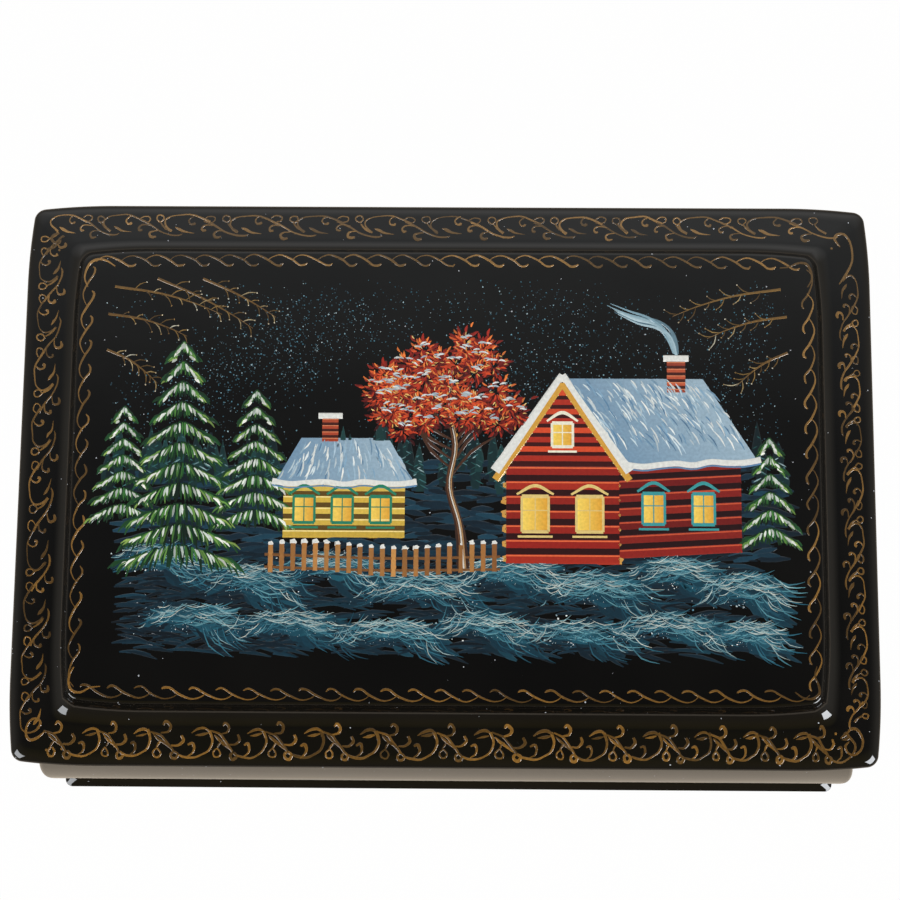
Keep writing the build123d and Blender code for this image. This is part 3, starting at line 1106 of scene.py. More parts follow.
# %% The strokes of one unit, as places along the band, insets and widths
vine_unit = [
    [
        (0, 5.15, 0.5), (-0.75, 4.6, 0.45), (-1.25, 3.75, 0.35), (-1.15, 2.95, 0.3),
        (-0.2, 2.3, 0.25), (1.3, 2.05, 0.25), (3.3, 1.98, 0.3), (5.0, 2.55, 0.35),
        (6.6, 3.35, 0.45),
    ],
    [
        (5.6, 3.0, 0.35), (6.8, 3.5, 0.4), (8.0, 4.2, 0.35), (9.4, 5.1, 0.3), (11.2, 5.75, 0.35),
        (12.6, 5.85, 0.35), (13.4, 5.6, 0.15),
    ],
    [(0.5, 4.25, 0.1), (1.2, 4.6, 0.55), (2.2, 5.1, 0.4), (3.9, 5.35, 0.08)],
    [
        (3.9, 2.1, 0.15), (3.3, 2.35, 0.22), (2.9, 3.0, 0.3), (3.2, 3.55, 0.35), (3.75, 3.6, 0.5),
        (3.95, 3.3, 0.4),
    ],
    [
        (5.5, 2.55, 0.2), (6.2, 2.15, 0.25), (7.1, 2.2, 0.25), (7.4, 2.6, 0.25), (7.1, 3.1, 0.22),
        (6.5, 3.3, 0.2),
    ],
    [
        (9.4, 3.4, 0.25), (8.75, 2.9, 0.25), (8.85, 2.3, 0.25), (9.4, 2.1, 0.28),
        (9.95, 2.3, 0.25), (10.05, 2.9, 0.25), (9.45, 3.4, 0.25),
    ],
    [(9.5, 3.4, 0.25), (10.2, 4.3, 0.4), (11.3, 5.0, 0.5)],
    [
        (7.7, 3.95, 0.2), (6.7, 3.75, 0.25), (5.8, 3.85, 0.3), (5.3, 4.4, 0.35), (5.5, 4.85, 0.5),
        (6.0, 4.75, 0.35),
    ],
    [
        (9.0, 5.0, 0.2), (8.0, 5.1, 0.25), (7.4, 5.4, 0.4), (7.4, 6.0, 0.5), (7.9, 6.3, 0.55),
        (8.6, 6.15, 0.3),
    ],
]
print("A unit of the vine has", len(vine_unit), "strokes")

# %% The unit at the front, where the hand worked closer and heavier
front_unit = [
    [
        (0, 5.9, 0.5), (-0.5, 4.45, 0.4), (0, 3.15, 0.35), (1.0, 2.5, 0.3), (2.3, 2.0, 0.35),
        (3.8, 2.1, 0.4), (4.8, 2.4, 0.3),
    ],
    [(-0.4, 5.6, 0.2), (0.6, 6.1, 0.5), (1.7, 5.95, 0.45), (2.7, 5.4, 0.15)],
    [(0.1, 5.5, 0.2), (1.1, 5.25, 0.45), (2.2, 5.1, 0.1)],
    [(5.7, 3.2, 0.25), (6.7, 3.9, 0.4), (7.8, 4.6, 0.45), (8.6, 5.3, 0.15)],
    [(8.0, 3.4, 0.2), (7.7, 3.9, 0.3), (7.3, 4.4, 0.2)],
    [(5.3, 2.7, 0.35), (5.9, 3.5, 0.4), (6.9, 4.6, 0.4), (7.6, 5.3, 0.4), (9.2, 5.8, 0.3)],
    [
        (5.3, 2.75, 0.4), (4.75, 2.3, 0.45), (5.1, 1.7, 0.5), (5.7, 1.8, 0.45), (5.85, 2.4, 0.4),
        (5.35, 2.75, 0.4),
    ],
    [
        (7.9, 3.4, 0.25), (7.4, 2.7, 0.3), (7.7, 2.1, 0.3), (8.4, 2.2, 0.3), (8.6, 2.8, 0.3),
        (8.0, 3.4, 0.25),
    ],
    [(5.9, 3.8, 0.25), (4.8, 3.8, 0.35), (4.0, 4.5, 0.45), (4.3, 5.25, 0.35)],
    [(7.6, 5.35, 0.25), (6.4, 5.6, 0.4), (6.1, 6.4, 0.5), (6.75, 7.0, 0.5), (7.2, 6.55, 0.3)],
    [(3.4, 2.1, 0.2), (2.6, 2.6, 0.3), (2.3, 3.3, 0.4), (2.6, 4.0, 0.5), (3.3, 3.8, 0.3)],
]
print("A unit at the front has", len(front_unit), "strokes")

# %% The lid's sides as start, direction and way inwards, and the vine's joints along them
half_length, half_width = lid_length / 2, lid_width / 2
sides = {
    "back": ((-half_length, half_width), (1, 0), (0, -1)),
    "right": ((half_length, half_width), (0, -1), (-1, 0)),
    "front": ((half_length, -half_width), (-1, 0), (0, 1)),
    "left": ((-half_length, -half_width), (0, 1), (1, 0)),
}
side_lengths = {"back": lid_length, "right": lid_width, "front": lid_length, "left": lid_width}
vine_joints = {
    "back": [4.9, 14.6, 25.6, 37.5, 49.5, 61.4, 73.3, 85.0, 96.0, 107.0, 117.6, 129.7, 142.5],
    "right": [13.8, 23.1, 32.2, 40.5, 48.9, 58.5, 67.6, 76.6, 85.2, 92.2],
    "front": [
        5.2, 12.8, 21.6, 29.8, 38.4, 47.6, 56.6, 67.1, 76.6, 86.6, 96.0, 105.9, 115.2, 125.7,
        134.3, 143.8,
    ],
    "left": [6.5, 16.0, 25.5, 35.1, 46.6, 56.9, 67.2, 77.5, 86.8, 95.3],
}
vine_insets = {"back": (2.05, 1.0), "right": (2.4, 0.85), "front": (1.55, 1.18), "left": (2.15, 1.08)}
print("The vine has", sum(len(joints) - 1 for joints in vine_joints.values()), "units")


# %% All the units along one side
def gold_colours(lines):
    """Gold that is muted at the back and more orange at the front, a painted reflection of the grey glow
    behind the box and the brown dimness in front of it. Each brushful is also a little lighter or darker by
    chance.
    """
    # The share towards the front sets the painted reflection: muted gold at the back, orange gold at the
    # front.
    forward = np.clip(0.5 - lines[..., 0, 1] / lid_width, 0, 1)
    muted = np.array([124.0, 94.0, 54.0])
    orange = np.array([106.0, 74.0, 28.0])
    mixed = muted + (orange - muted) * forward[:, None]
    return linear(mixed * dice.uniform(0.72, 1.28, (len(lines), 1)))


def on_side(side, along, inset):
    """Plan points from places along a side of the lid and their insets."""
    origin, way, inward = (np.array(value, float) for value in sides[side])
    return origin + along[..., None] * way + inset[..., None] * inward


def vine_side(side, unit, pitch, heavier):
    """All the units along one side, each stretched between its own joints."""
    joints = np.array(vine_joints[side])
    start, scale = joints[:-1, None], np.diff(joints)[:, None] / pitch
    first, growth = vine_insets[side]
    made = []
    for stroke in unit:
        along, inset, width = np.array(stroke, float).T
        shift = dice.uniform(-0.12, 0.12, (2, len(start), 1))
        wobble = dice.uniform(-0.06, 0.06, (2, len(start), len(along)))
        u = start + along * scale + shift[0] + wobble[0]
        m = first + (inset + shift[1] + wobble[1] - 2) * growth
        u = np.clip(u, m, side_lengths[side] - m)
        lines = on_side(side, u, np.clip(m, 1.3, 8.0))
        widths = width * heavier * dice.uniform(0.82, 1.2, (len(start), 1))
        made.append(strokes(lines, widths, gold_colours(lines), 0, 3 * len(along)))
    return made


print("Each unit is stretched between its own joints")

# %% The vine round the band, with its corners and dots
corner_vine = [
    [
        (69.7, 42.7), (68.8, 44.1), (69.3, 45.0), (70.6, 45.0), (71.6, 43.4), (71.9, 40.9),
        (71.5, 39.2), (70.5, 37.4), (69.4, 35.8),
    ],
    [
        (68.8, -43.9), (69.5, -43.1), (70.6, -43.2), (71.5, -44.9), (71.2, -46.5), (70.0, -47.5),
        (68.9, -47.1), (68.5, -46.0), (69.2, -45.2),
    ],
    [
        (-69.5, 44.6), (-70.4, 44.4), (-70.9, 43.7), (-70.3, 42.9), (-69.5, 42.8), (-69.3, 43.4),
        (-70.3, 42.1), (-71.2, 41.8), (-72.0, 41.7),
    ],
    [
        (-68.5, -44.5), (-69.6, -45.5), (-70.9, -45.9), (-71.6, -45.0), (-71.5, -43.4),
        (-70.6, -42.3), (-69.5, -42.4), (-69.2, -43.2), (-69.8, -43.8),
    ],
]
corner_lines = np.array(corner_vine, float)
corner_widths = np.array([0.25, 0.5, 0.55, 0.45, 0.4, 0.4, 0.4, 0.45, 0.2])
dots = np.array([(-68.0, -47.6), (-65.4, -47.4), (-69.4, 41.5), (68.2, 42.4), (66.9, -43.9)])
vine_batches = vine_side("back", vine_unit, 11.5, 1.0) + vine_side("left", vine_unit, 11.5, 1.0)
vine_batches += vine_side("right", vine_unit, 11.5, 1.0) + vine_side("front", front_unit, 9.5, 1.15)
vine_batches.append(strokes(corner_lines, corner_widths, gold_colours(corner_lines), 1, 26))
vine_batches.append(specks(dots, 0.32, gold_colours(dots[:, None]), 1))
paint_piece("gold_vine_border", vine_batches, gold_paint)

# %% [markdown]
# ## Gold braid round the panel
#
# Inside the step a chain of overlapping S-shaped strokes frames the picture. Each one starts thin on
# the one before, runs along the outside, crosses inwards and ends in a thick hooked head.

# %% The braid
braid_stroke = np.array(
    [
        (0, 0.5, 0.14), (0.22, 0.12, 0.2), (0.55, 0, 0.28), (1.0, 0.45, 0.38), (1.3, 0.95, 0.36),
        (1.5, 1.0, 0.4), (1.62, 0.82, 0.2),
    ]
)
braid_depth = 1.9
braid_outer = {"back": 10.75, "right": 10.75, "front": 10.85, "left": 10.75}
braid_end = {"back": 11.7, "right": 11.5, "front": 11.9, "left": 11.6}
braid_pitch = {"back": 4.5, "right": 4.65, "front": 4.8, "left": 4.65}
corner_room = 13.0
braid_batches = []
for side in sides:
    run = side_lengths[side] - 2 * corner_room
    count = round(run / braid_pitch[side])
    pitch = run / (count + braid_stroke[-1, 0] - 1)
    start = corner_room + np.arange(count)[:, None] * pitch
    along, share, width = braid_stroke.T
    u = start + along * pitch + dice.uniform(-0.1, 0.1, (count, along.size))
    away = np.abs(2 * u / side_lengths[side] - 1)
    outer = braid_outer[side] + (braid_end[side] - braid_outer[side]) * away**4
    lines = on_side(side, u, outer + braid_depth * share + dice.uniform(-0.08, 0.08, (count, along.size)))
    widths = width * dice.uniform(0.85, 1.2, (count, 1))
    braid_batches.append(strokes(lines, widths, gold_colours(lines), 0, 18))
corner_braid = np.array(
    [
        [(58.4, 37.4), (60.0, 37.6), (61.6, 38.3), (63.0, 38.2), (63.8, 37.0), (64.0, 35.4), (63.2, 33.9)],
        [
            (63.4, -33.0), (63.0, -34.6), (63.6, -36.2), (63.7, -37.6), (62.6, -38.5),
            (61.0, -38.4), (59.6, -37.4),
        ],
        [
            (-58.5, -37.2), (-60.2, -37.4), (-61.8, -38.2), (-63.2, -38.0), (-63.9, -36.8),
            (-63.8, -35.2), (-63.1, -33.9),
        ],
        [
            (-63.3, 33.4), (-63.9, 34.9), (-63.7, 36.5), (-62.9, 37.9), (-61.6, 38.5),
            (-60.1, 38.2), (-58.6, 37.2),
        ],
    ]
)
braid_widths = np.array([0.2, 0.3, 0.38, 0.5, 0.45, 0.35, 0.2])
braid_batches.append(strokes(corner_braid, braid_widths, gold_colours(corner_braid), 1, 22))
paint_piece("gold_braid_border", braid_batches, gold_paint)

# %% [markdown]
# ## The winter village: sky and ground
#
# The panel holds a winter night in the bright, small-stroked manner of such boxes. The painter works
# from the black lacquer up: first the frosty sky as thousands of specks, then the far wood, the blue
# snow, the trees and houses, and the white and gold lights last. Each thing here has its own layer, so
# later strokes lie over earlier ones as they do in paint.

# %% Sky and far wood
picture_x, picture_y = 60.0, 35.0
ground_batches = []
count = 13000
places = scatter(count, (-picture_x, picture_x), (-4, picture_y))
x, y = places.T
cloud = 0.5 + 0.27 * np.sin(x / 7 + 1.2 * np.sin(y / 6)) + 0.23 * np.sin(y / 4.3 - x / 11)
rim = np.clip((picture_x - np.abs(x)) / 7, 0, 1) * np.clip((picture_y - y) / 4, 0.2, 1)
kept = dice.uniform(0, 1, count) < cloud * rim * np.clip((y + 10) / 24, 0.2, 1)
places = places[kept]
sky_tints = any_tints([(20, 52, 64), (38, 84, 98), (72, 122, 138), (170, 186, 188)], len(places), power=1.7)
sky_sizes = 0.09 + 0.13 * dice.uniform(0, 1, len(places)) ** 2
paint_piece("frosty_sky", [specks(places, sky_sizes, sky_tints, 0.5)], picture_paint)

count = 120
roots = scatter(count, (-59, 59), (-3.5, 1.5))
tall = dice.uniform(4, 10, count)
wood_tints = any_tints([(8, 24, 28), (15, 42, 44), (26, 62, 60)], count)
firs_up = tall[:, None] * np.array([0.0, 1.0])
far_firs = np.stack([roots, roots + 0.45 * firs_up, roots + firs_up], axis=1)
ground_batches.append(strokes(far_firs, np.array([1.6, 2.2, 0.1]), wood_tints, 1.0, 8))
tips = np.repeat(roots, 5, axis=0)
up_share = np.tile(np.linspace(0.2, 0.9, 5), count)
tips[:, 1] += up_share * np.repeat(tall, 5)
lean = np.where(np.arange(count * 5) % 2 == 0, -0.5, math.pi + 0.5)
tip_tints = any_tints([(30, 72, 70), (70, 116, 118), (150, 172, 172)], len(tips), power=2)
ground_batches.append(dabs(tips, lean, 1.7 * (1.1 - up_share), 0.3, tip_tints, 1.6))
print("Sky specks:", len(sky_sizes), "and far trees:", count)

# %% [markdown]
# The snow is night-blue and has no hard outline. It is built of drifts that curl like clouds: broad
# dark strokes give their body, finer ones turn round each drift, and thin pale ones lie on its crest.
# The strokes thin out towards the rim, so that the black lacquer ends the picture.

# %% Snow
drifts = np.array(
    [
        (-50, -17, 9, 4.5), (-35, -21, 10, 5), (-20, -18, 9, 4), (-5, -22, 10, 5), (10, -19, 9, 4.5),
        (25, -22, 10, 5), (39, -19, 9, 4.5), (51, -22, 8, 5), (-44, -27, 9, 4), (-27, -28, 10, 4),
        (-10, -29, 9, 3.6), (6, -28, 9, 4), (22, -29, 10, 3.6), (38, -28, 9, 4), (51, -29, 7, 3.5),
    ]
)


def round_drifts(count, low, high):
    """Places round the drifts between two shares of their radius, the curl's angle there and how far
    up the drift it is."""
    chosen = drifts[dice.integers(0, len(drifts), count)]
    turn = dice.uniform(-0.25, math.pi + 0.25, count)
    share = dice.uniform(low, high, count)
    places = chosen[:, :2] + chosen[:, 2:] * share[:, None] * headings(turn)
    angles = 0.55 * np.arctan2(-chosen[:, 3] * np.cos(turn), chosen[:, 2] * np.abs(np.sin(turn)))
    inside = (np.abs(places[:, 0]) < 57.5) & (places[:, 1] > -32.6)
    return places[inside], angles[inside], np.sin(turn)[inside]


count = 620
places = scatter(count, (-58, 56), (-15, 1.5))
field_tints = any_tints([(9, 24, 34), (16, 42, 56), (24, 60, 76)], count)
lean = dice.normal(0, 0.12, count)
ground_batches.append(dabs(places, lean, dice.uniform(3, 7, count), 1.3, field_tints, 0.4, 0.03))
count = 900
places = scatter(count, (-57, 49), (-31.5, -14))
floor_tints = any_tints([(6, 18, 26), (10, 34, 46), (16, 52, 66)], count)
lean = dice.normal(0, 0.16, count)
ground_batches.append(dabs(places, lean, dice.uniform(4, 9, count), 0.75, floor_tints, 0.6, 0.05))
places, lean, up = round_drifts(900, 0.0, 1.05)
shade = np.clip(0.4 + 0.4 * up + dice.normal(0, 0.2, len(up)), 0, 1)
body_tints = tints([(8, 28, 38), (14, 52, 66), (26, 78, 92)], shade)
lengths = dice.uniform(2.5, 6.0, len(places))
widths = dice.uniform(0.9, 1.8, len(places))
ground_batches.append(dabs(places, lean, lengths, widths, body_tints, 1.0, -0.12))
places, lean, up = round_drifts(1150, 0.25, 1.1)
shade = np.clip(0.3 + 0.5 * up + dice.normal(0, 0.25, len(up)), 0, 1)
curl_tints = tints([(14, 50, 64), (38, 92, 108), (92, 142, 150)], shade)
lengths = dice.uniform(2.5, 6.5, len(places))
lean = lean + dice.normal(0, 0.1, len(lean))
ground_batches.append(dabs(places, lean, lengths, 0.3, curl_tints, 1.8, -0.16))
places, lean, up = round_drifts(1500, 0.5, 1.08)
light = dice.uniform(0, 1, len(up)) < 0.25 + 0.75 * np.clip(up, 0, 1) ** 2
places, lean = places[light], lean[light]
crest_tints = any_tints([(98, 142, 150), (154, 176, 174), (208, 208, 192)], len(places))
lengths = dice.uniform(1.5, 4.5, len(places))
lean = lean + dice.normal(0, 0.12, len(lean))
ground_batches.append(dabs(places, lean, lengths, 0.17, crest_tints, 2.6, -0.14))
places, _, _ = round_drifts(1300, 0.0, 1.15)
places = places + dice.normal(0, 0.5, places.shape)
sparkle_tints = any_tints([(84, 128, 146), (190, 204, 204), (238, 238, 230)], len(places))
sizes = dice.uniform(0.09, 0.24, len(places))
ground_batches.append(specks(places, sizes, sparkle_tints, 3.0))
paint_piece("blue_snow", ground_batches, picture_paint)

# %% [markdown]
# ## Trees
#
# A fir is tiers of drooping dabs, dark underneath, yellow-green at the tips and cream where snow lies.
# The rowan in the middle is a leaning trunk with a crown of several red and orange heads, and gilded
# twigs reach in from the upper corners. All are fields of short strokes, so each is made in a few
# whole-array steps.


# %% Firs
def fir(middle, base, top, half, tiers, layer):
    """Tiers of drooping dabs that fan out from the trunk, in three passes from dark to snow."""
    made = []
    passes = [
        (46, 1.0, 0.95, [(6, 22, 14), (15, 48, 26), (30, 76, 38)], 0.0),
        (34, 0.75, 0.6, [(28, 76, 36), (70, 120, 52), (134, 160, 78)], 0.5),
        (15, 0.5, 0.75, [(164, 176, 166), (228, 226, 212)], 0.9),
    ]
    for number, reach, thick, stops, over in passes:
        tier = np.repeat(np.arange(tiers), number)
        fan = np.tile(np.linspace(-1, 1, number), tiers) + dice.uniform(-0.08, 0.08, tiers * number)
        wide = half * ((tier + 1) / tiers) ** 0.85
        step = (top - base) / (tiers + 0.6)
        height = top - step * (tier + 0.35 + over * 0.12) - np.abs(fan) ** 1.6 * step * 0.75
        places = np.stack([middle + fan * wide * 0.72, height], axis=1)
        angles = -math.pi / 2 + fan * 0.95 + dice.normal(0, 0.12, fan.size)
        lengths = reach * (0.55 * step + 0.16 * wide) * dice.uniform(0.8, 1.2, fan.size)
        colours = tints(stops, np.clip(np.abs(fan) * 0.5 + dice.uniform(0, 0.6, fan.size), 0, 1), 0.14)
        layers = layer + over + 0.9 * (tiers - tier) / tiers
        made.append(dabs(places, angles, lengths, thick * 0.75, colours, layers, fan * 0.12))
    return made


fir_batches = []
for shape in (
    (-56, -9, 13, 6.0, 7, 3.2),
    (-33, -10, 16, 8.0, 8, 3.2),
    (56, -13, 8, 5.0, 6, 3.2),
    (-46, -17, 25, 11.5, 11, 4.4),
):
    fir_batches += fir(*shape)
paint_piece("painted_firs", fir_batches, picture_paint)

# %% Rowan
tree_batches = []
trunk = np.array([[(3.2, -16.5), (2.4, -9), (0.6, -2), (1.6, 5), (0.4, 12), (1.0, 19)]], float)
tree_batches.append(strokes(trunk, np.array([2.6, 1.7, 1.5, 1.2, 0.8, 0.3]), linear((58, 34, 22)), 4.0, 24))
bark = trunk + np.array([[[0.35, 0]], [[-0.3, 0]], [[0.05, 0]]])
bark_tints = linear([(168, 128, 84), (104, 66, 40), (216, 206, 190)])
tree_batches.append(strokes(bark, np.array([0.4, 0.35, 0.3, 0.25, 0.2, 0.1]), bark_tints, 4.6, 24))
count = 16
limb_start = np.stack([np.full(count, 1.2), np.linspace(0, 13, count)], axis=1)
limb_turn = np.where(np.arange(count) % 2 == 0, 0.75, math.pi - 0.75) + dice.normal(0, 0.15, count)
limb_colour = linear((70, 42, 26))
tree_batches.append(dabs(limb_start, limb_turn, np.linspace(10, 5, count), 0.7, limb_colour, 4.2, 0.08))
heads = np.array(
    [
        (-7.2, 10.5, 4.6), (7.6, 11.5, 4.8), (-3.4, 18.6, 5.0),
        (4.8, 20.4, 4.4), (0.4, 12.6, 4.2), (-10.0, 15.4, 2.8),
    ]
)
bunches_in_a_head = 7
golden_angle = 2.39996
head = np.repeat(heads, bunches_in_a_head, axis=0)
spin = np.arange(len(head)) * golden_angle
reach = np.sqrt((np.arange(len(head)) % bunches_in_a_head + 0.5) / bunches_in_a_head)
centres = head[:, :2] + head[:, 2:] * (reach * (np.cos(spin), 0.8 * np.sin(spin))).T
centres = centres + dice.normal(0, 0.35, centres.shape)
bunches = len(centres)
for number, length, thick, stops, layer in (
    (30, 1.4, 0.55, [(52, 10, 10), (104, 20, 16), (150, 36, 22)], 5.0),
    (26, 1.0, 0.42, [(150, 36, 20), (200, 70, 32), (222, 118, 52)], 5.8),
    (6, 0.7, 0.26, [(222, 164, 78), (232, 196, 124)], 6.5),
):
    around = np.repeat(centres, number, axis=0)
    places = around + dice.normal(0, 0.95, around.shape)
    outward = np.arctan2(places[:, 1] - around[:, 1], places[:, 0] - around[:, 0])
    colours = tints(stops, np.clip(0.5 + (places[:, 1] - around[:, 1]) / 3, 0, 1), 0.15)
    tree_batches.append(dabs(places, outward, length, thick, colours, layer, 0.1))
caps = np.repeat(centres, 4, axis=0) + dice.normal(0, (0.8, 0.2), (bunches * 4, 2)) + (-0.5, 1.2)
cap_tints = any_tints([(150, 168, 176), (226, 226, 218)], len(caps))
tree_batches.append(dabs(caps, dice.normal(0, 0.25, len(caps)), 1.2, 0.42, cap_tints, 7.0, 0.1))
paint_piece("painted_rowan", tree_batches, picture_paint)

# %% Twigs from the upper corners
twig_batches = []
starts = np.array([(-59.5, 22), (-59.5, 28.5), (-58.5, 33.5), (-51, 35), (-43, 35)], float)
drops = np.array([(9, -6), (14, -4), (19, -5), (17, -9), (13, -7)], float)
sag = np.array([(4.0, 0.6), (6, 1.4), (9, 1.2), (8, -1.6), (6, -1.4)])
bends = [starts, starts + drops * 0.3 + sag * 0.25, starts + drops * 0.65 + sag * 0.2, starts + drops]
for way, count in ((1, 5), (-1, 3)):
    lines = np.stack(bends, axis=1)[:count] * (way, 1)
    twig_tints = any_tints([(92, 66, 34), (140, 106, 56)], len(lines))
    twig_batches.append(strokes(lines, np.array([0.5, 0.38, 0.25, 0.1]), twig_tints, 2.0, 18))
    curves = smooth_lines(lines, 15)
    run = np.gradient(curves, axis=1)[:, 2:-1].reshape(-1, 2)
    joints = curves[:, 2:-1].reshape(-1, 2)
    turns = np.arctan2(run[:, 1], run[:, 0]) + np.where(np.arange(len(joints)) % 2 == 0, 0.7, -0.7)
    lengths = dice.uniform(1.2, 3.0, len(joints))
    spray_tints = any_tints([(86, 64, 34), (150, 118, 64), (190, 184, 164)], len(joints), power=1.6)
    twig_batches.append(dabs(joints, turns, lengths, 0.22, spray_tints, 2.3, 0.12))
    buds = joints + lengths[:, None] * headings(turns)
    bud_tints = any_tints([(130, 96, 50), (206, 202, 186)], len(buds))
    twig_batches.append(specks(buds, 0.17, bud_tints, 2.6))
paint_piece("bare_twigs", twig_batches, gold_paint)

# %% [markdown]
# ## Houses and fence
#
# Two timber houses stand under deep snow: a small yellow one with a picket fence, and a large red log
# house with a carved gable and smoke over its chimney. Walls, roofs and panes are filled shapes. Logs,
# boards and frames go on stroke by stroke, and the snow on the roofs is streaked down the slope.


# %% Straight strokes and log walls
def straight_strokes(starts, ends, widths, colours, layer):
    """Straight strokes between two lists of places."""
    lines = np.stack([np.array(starts, float), np.array(ends, float)], axis=1)
    return strokes(lines, np.broadcast_to(widths, len(lines))[:, None], colours, layer, 4)


def bar(left, right, height, width, colour, layer):
    """One level stroke."""
    return straight_strokes([(left, height)], [(right, height)], width, linear(colour), layer)


def log_wall(left, right, low, high, slant, layer, count, stops):
    """A wall of round logs: a dark seam, the log, and a light line above its middle, for each course."""
    course = (high - low) / count
    y = low + course * (np.arange(count) + 0.5)
    starts = np.stack([np.full(count, left), y], axis=1)
    ends = np.stack([np.full(count, right), y + slant], axis=1)
    up = np.array([0, course])
    foot, head = [(left, low), (right, low + slant)], [(left, high), (right, high + slant)]
    wall = patch(foot, head, stops[0], layer, 8, 10)
    logs = straight_strokes(starts, ends, course * 0.8, any_tints(stops[1:3], count, 0.08), layer + 0.7)
    starts, ends = starts + up * 0.2, ends + up * 0.2
    return [wall, logs, straight_strokes(starts, ends, course * 0.14, linear(stops[3]), layer + 1.3)]


print("A wall is a dark shape with its logs and their light lines")


# %% Windows
def window(left, low, wide, high, frame_colour, layer):
    """A lit window: a glowing pane, its frame and bars, a curved board above it and a sill."""
    right, top = left + wide, low + high
    middle, sash = (left + right) / 2, low + 0.6 * high
    foot, head = [(left, low), (right, low)], [(left, top), (right, top)]
    pane = patch(foot, head, (250, 214, 96), layer, 5, 18, (226, 160, 52))
    starts = [(left, low), (left, top), (left, low), (right, low), (middle, low), (left, sash)]
    ends = [(right, low), (right, top), (left, top), (right, top), (middle, top), (right, sash)]
    thick = np.array([0.75, 0.85, 0.6, 0.6, 0.28, 0.28])
    frame_bars = straight_strokes(starts, ends, thick, linear(frame_colour), layer + 0.7)
    peak = np.array([[(left - 0.9, top + 0.35), (middle, top + 1.9), (right + 0.9, top + 0.35)]])
    board = strokes(peak, np.array([0.5, 0.8, 0.5]), linear(frame_colour), layer + 0.7, 12)
    sill = bar(left - 0.7, right + 0.7, low - 0.85, 0.5, frame_colour, layer + 0.7)
    return [pane, frame_bars, board, sill]


print("A window is a pane, a frame, a board and a sill")

# %% Roofs under snow
snow_white = (228, 226, 216)


def snow_roof(upper, lower, layer, count):
    """Snow on a roof between its ridge and its eave: a pale shape, blue and white streaks down the slope
    and a thick rounded lip along the eave."""
    upper, lower = np.array(upper, float), np.array(lower, float)
    made = [patch(lower - (0, 0.8), upper, (118, 148, 170), layer, 12, 9, (158, 180, 192))]
    share, down = dice.uniform(0.02, 0.98, (2, count, 1))
    ridge_place = upper[0] + share * (upper[-1] - upper[0])
    eave_place = lower[0] + share * (lower[-1] - lower[0])
    places = ridge_place + down * 0.75 * (eave_place - ridge_place)
    slope = np.arctan2(*(eave_place - ridge_place).T[::-1])
    colours = any_tints([(84, 122, 152), (138, 168, 186), (196, 208, 210), (232, 230, 220)], count, 0.08)
    slope = slope + dice.normal(0, 0.12, count)
    made.append(dabs(places, slope, dice.uniform(1.2, 3.4, count), 0.42, colours, layer + 0.7, 0.06))
    lip = np.stack([np.linspace(lower[0], lower[-1], 9)])
    lip[0, :, 1] += 0.28 * np.cos(np.arange(9) * 2.4)
    made.append(strokes(lip, 1.3, linear(snow_white), layer + 1.4, 26))
    made.append(strokes(lip - (0, 0.7), 0.35, linear((96, 136, 170)), layer + 1.1, 26))
    return made


print("Snow on the roofs ends in the colour", snow_white)

# %% The yellow house
yellow_logs = [(96, 70, 24), (206, 168, 62), (232, 198, 92), (250, 228, 150)]
bricks = [(70, 26, 18), (160, 62, 38), (190, 84, 50), (226, 140, 96)]
house_batches = log_wall(-28, -7, -11.5, -1.5, 0, 3.4, 5, yellow_logs)
for left in (-26.2, -19.6, -13.0):
    house_batches += window(left, -8.6, 3.6, 4.6, (40, 128, 96), 5.2)
house_batches += snow_roof([(-25, 6.5), (-10, 6.5)], [(-30, -1.6), (-5, -1.6)], 4.6, 120)
house_batches += log_wall(-21.5, -18.7, 5.5, 10.0, 0, 3.4, 4, bricks)
house_batches.append(bar(-22.2, -18.0, 10.3, 1.1, snow_white, 6.0))
print("Batches for the yellow house:", len(house_batches))

# %% The red house
red_logs = [(46, 8, 8), (140, 28, 20), (188, 52, 30), (232, 104, 60)]
shaded_logs = [(36, 8, 10), (112, 22, 20), (150, 38, 26), (204, 82, 50)]
gable_shade = (60, 12, 10)
house_batches += log_wall(30, 51, -15.0, 2.0, 1.2, 3.6, 7, shaded_logs)
house_batches += log_wall(10.5, 30, -16.0, 2.0, 0, 4.2, 7, red_logs)
gable_rows = 8
height = np.linspace(2.9, 14.6, gable_rows)
reach = 10.4 * (16.4 - height) / 14.4
gable_colours = tints([(176, 46, 28), (214, 74, 38)], np.arange(gable_rows) % 2, 0.05)
gable_foot, gable_top = [(9.8, 2), (20.2, 2), (30.6, 2)], [(19.9, 16.4), (20.2, 16.6), (20.5, 16.4)]
starts, ends = (np.stack([20.2 + way * reach, height], axis=1) for way in (-1, 1))
log_ends = np.stack([np.tile([10.4, 30.0], 7), np.repeat(-16 + 18 / 7 * (np.arange(7) + 0.5), 2)], axis=1)
house_batches += [
    patch(gable_foot, gable_top, gable_shade, 4.2, 14, 10),
    straight_strokes(starts, ends, 1.35, gable_colours, 4.9),
    bar(9.9, 30.5, 2.05, 1.5, gable_shade, 4.6),
    specks(log_ends, 1.1, linear((206, 150, 70)), 6.2),
    specks(log_ends, 0.55, linear((122, 70, 30)), 7.4),
]
for left in (13.2, 22.6):
    house_batches += window(left, -10.0, 4.6, 6.2, (226, 196, 120), 6.0)
for left in (34.0, 42.6):
    house_batches += window(left, -8.6, 3.8, 5.4, (60, 150, 150), 6.0)
house_batches += window(18.4, 5.0, 3.6, 4.2, (240, 232, 205), 6.0)
house_batches += snow_roof([(20.4, 17.4), (44.5, 17.4)], [(31.2, 1.6), (54.5, 2.6)], 6.6, 260)
boards = np.array([[(8.6, 0.4), (14.2, 8.6), (20.2, 17.6)], [(31.8, 0.4), (26.2, 8.6), (20.2, 17.6)]], float)
teeth = smooth_lines(boards - (0, 2.3), 17)[:, 1:-1].reshape(-1, 2)
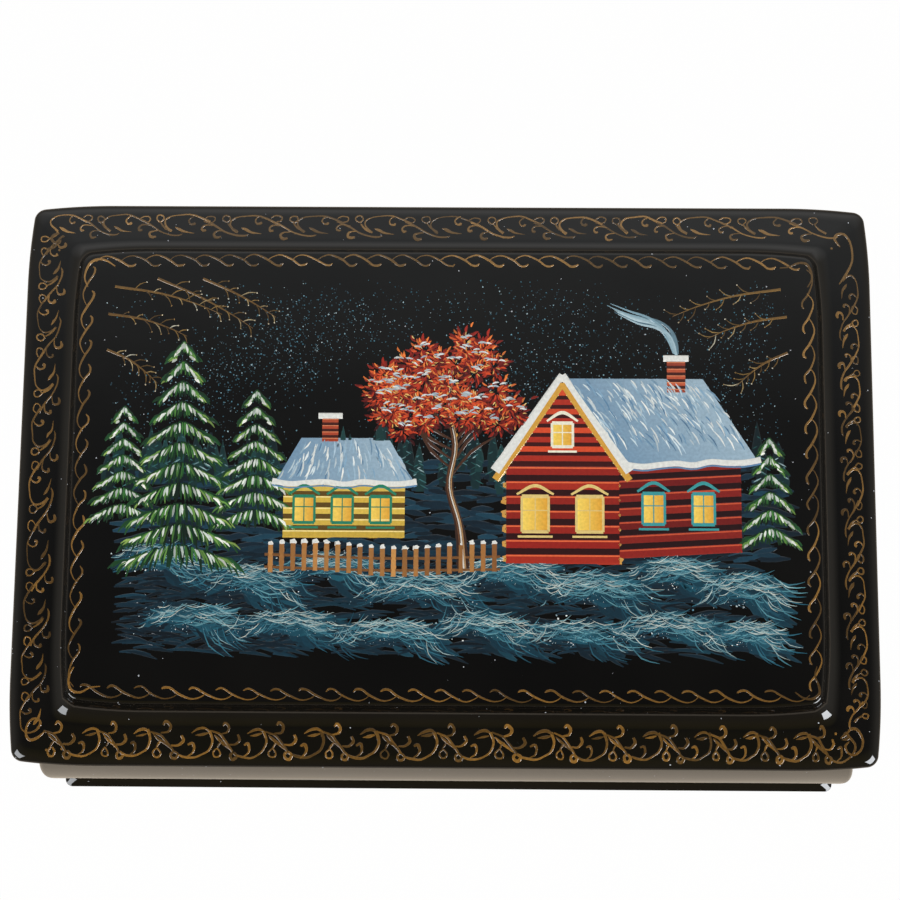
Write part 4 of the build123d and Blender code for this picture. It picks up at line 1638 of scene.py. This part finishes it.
house_batches += [
    strokes(boards - (0, 1.3), 1.5, linear((214, 158, 62)), 7.2, 16),
    strokes(boards + (0, 0.2), np.array([2.2, 1.7, 1.3]), linear(snow_white), 8.2, 18),
    specks(teeth, 0.42, linear((242, 214, 140)), 7.9),
]
dark_bricks = [(70, 26, 18), (150, 60, 40), (184, 84, 52), (226, 140, 96)]
house_batches += log_wall(38.4, 41.6, 14.5, 20.5, 0, 6.9, 5, dark_bricks)
house_batches.append(bar(37.8, 42.2, 20.9, 1.2, snow_white, 9.0))
smoke_count = 11
smoke_path = np.array([(40, 21.6), (39.4, 23.8), (38.2, 25.6), (36.0, 27.0), (33.0, 27.8), (29.5, 29.4)])
smoke_spread = np.array([0.25, 0.5, 0.8, 1.1, 1.4, 1.2])[:, None]
smoke_lines = smoke_path + smoke_spread * dice.normal(0, 0.6, (smoke_count, 1, 2))
smoke_tints = any_tints([(74, 100, 112), (130, 160, 170), (176, 196, 200)], smoke_count)
smoke_widths = np.array([0.5, 0.7, 0.6, 0.5, 0.35, 0.1])
house_batches.append(strokes(smoke_lines, smoke_widths, smoke_tints, 3.0, 22))
print("Batches for both houses:", len(house_batches))

# %% The fence
stake_count = 21
stake_height = 4.8
x = np.linspace(-30, 8.5, stake_count)
foot_y = -17.5 + 0.5 * np.sin(x / 5)
foot, head = (np.stack([x, foot_y + rise], axis=1) for rise in (0, stake_height))
rails = np.array([[(-31, -14.2), (-10, -14.8), (9.5, -14.4)], [(-31, -16.4), (-10, -16.9), (9.5, -16.6)]])
house_batches += [
    strokes(rails, 0.55, linear((120, 78, 40)), 5.0, 16),
    straight_strokes(foot, head, 0.95, any_tints([(140, 88, 44), (196, 140, 76)], stake_count), 5.8),
    specks(head + (0, 0.2), 0.75, linear(snow_white), 7.0),
]
paint_piece("painted_houses", house_batches, picture_paint)

# %% [markdown]
# The lip frame, the floor board, the hinges and their brads have the right shape in the CAD model,
# so they stay as they are and only get their finishes.

# %% Finishes of the CAD nodes that stay
node_finishes = {
    "lid_lip_frame": red_lacquer,
    "bottom_plate": red_lacquer,
    "body_hinge_leaf_left": hinge_brass,
    "body_hinge_leaf_right": hinge_brass,
    "lid_hinge_leaf_left": hinge_brass,
    "lid_hinge_leaf_right": hinge_brass,
    "hinge_pin_left": pin_steel,
    "hinge_pin_right": pin_steel,
    "body_leaf_brads": brad_brass,
    "lid_leaf_brads": brad_brass,
}
for node, finish in node_finishes.items():
    for own_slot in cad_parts[node].material_slots:
        own_slot.material = finish
print("Finishes given to", len(node_finishes), "CAD nodes")
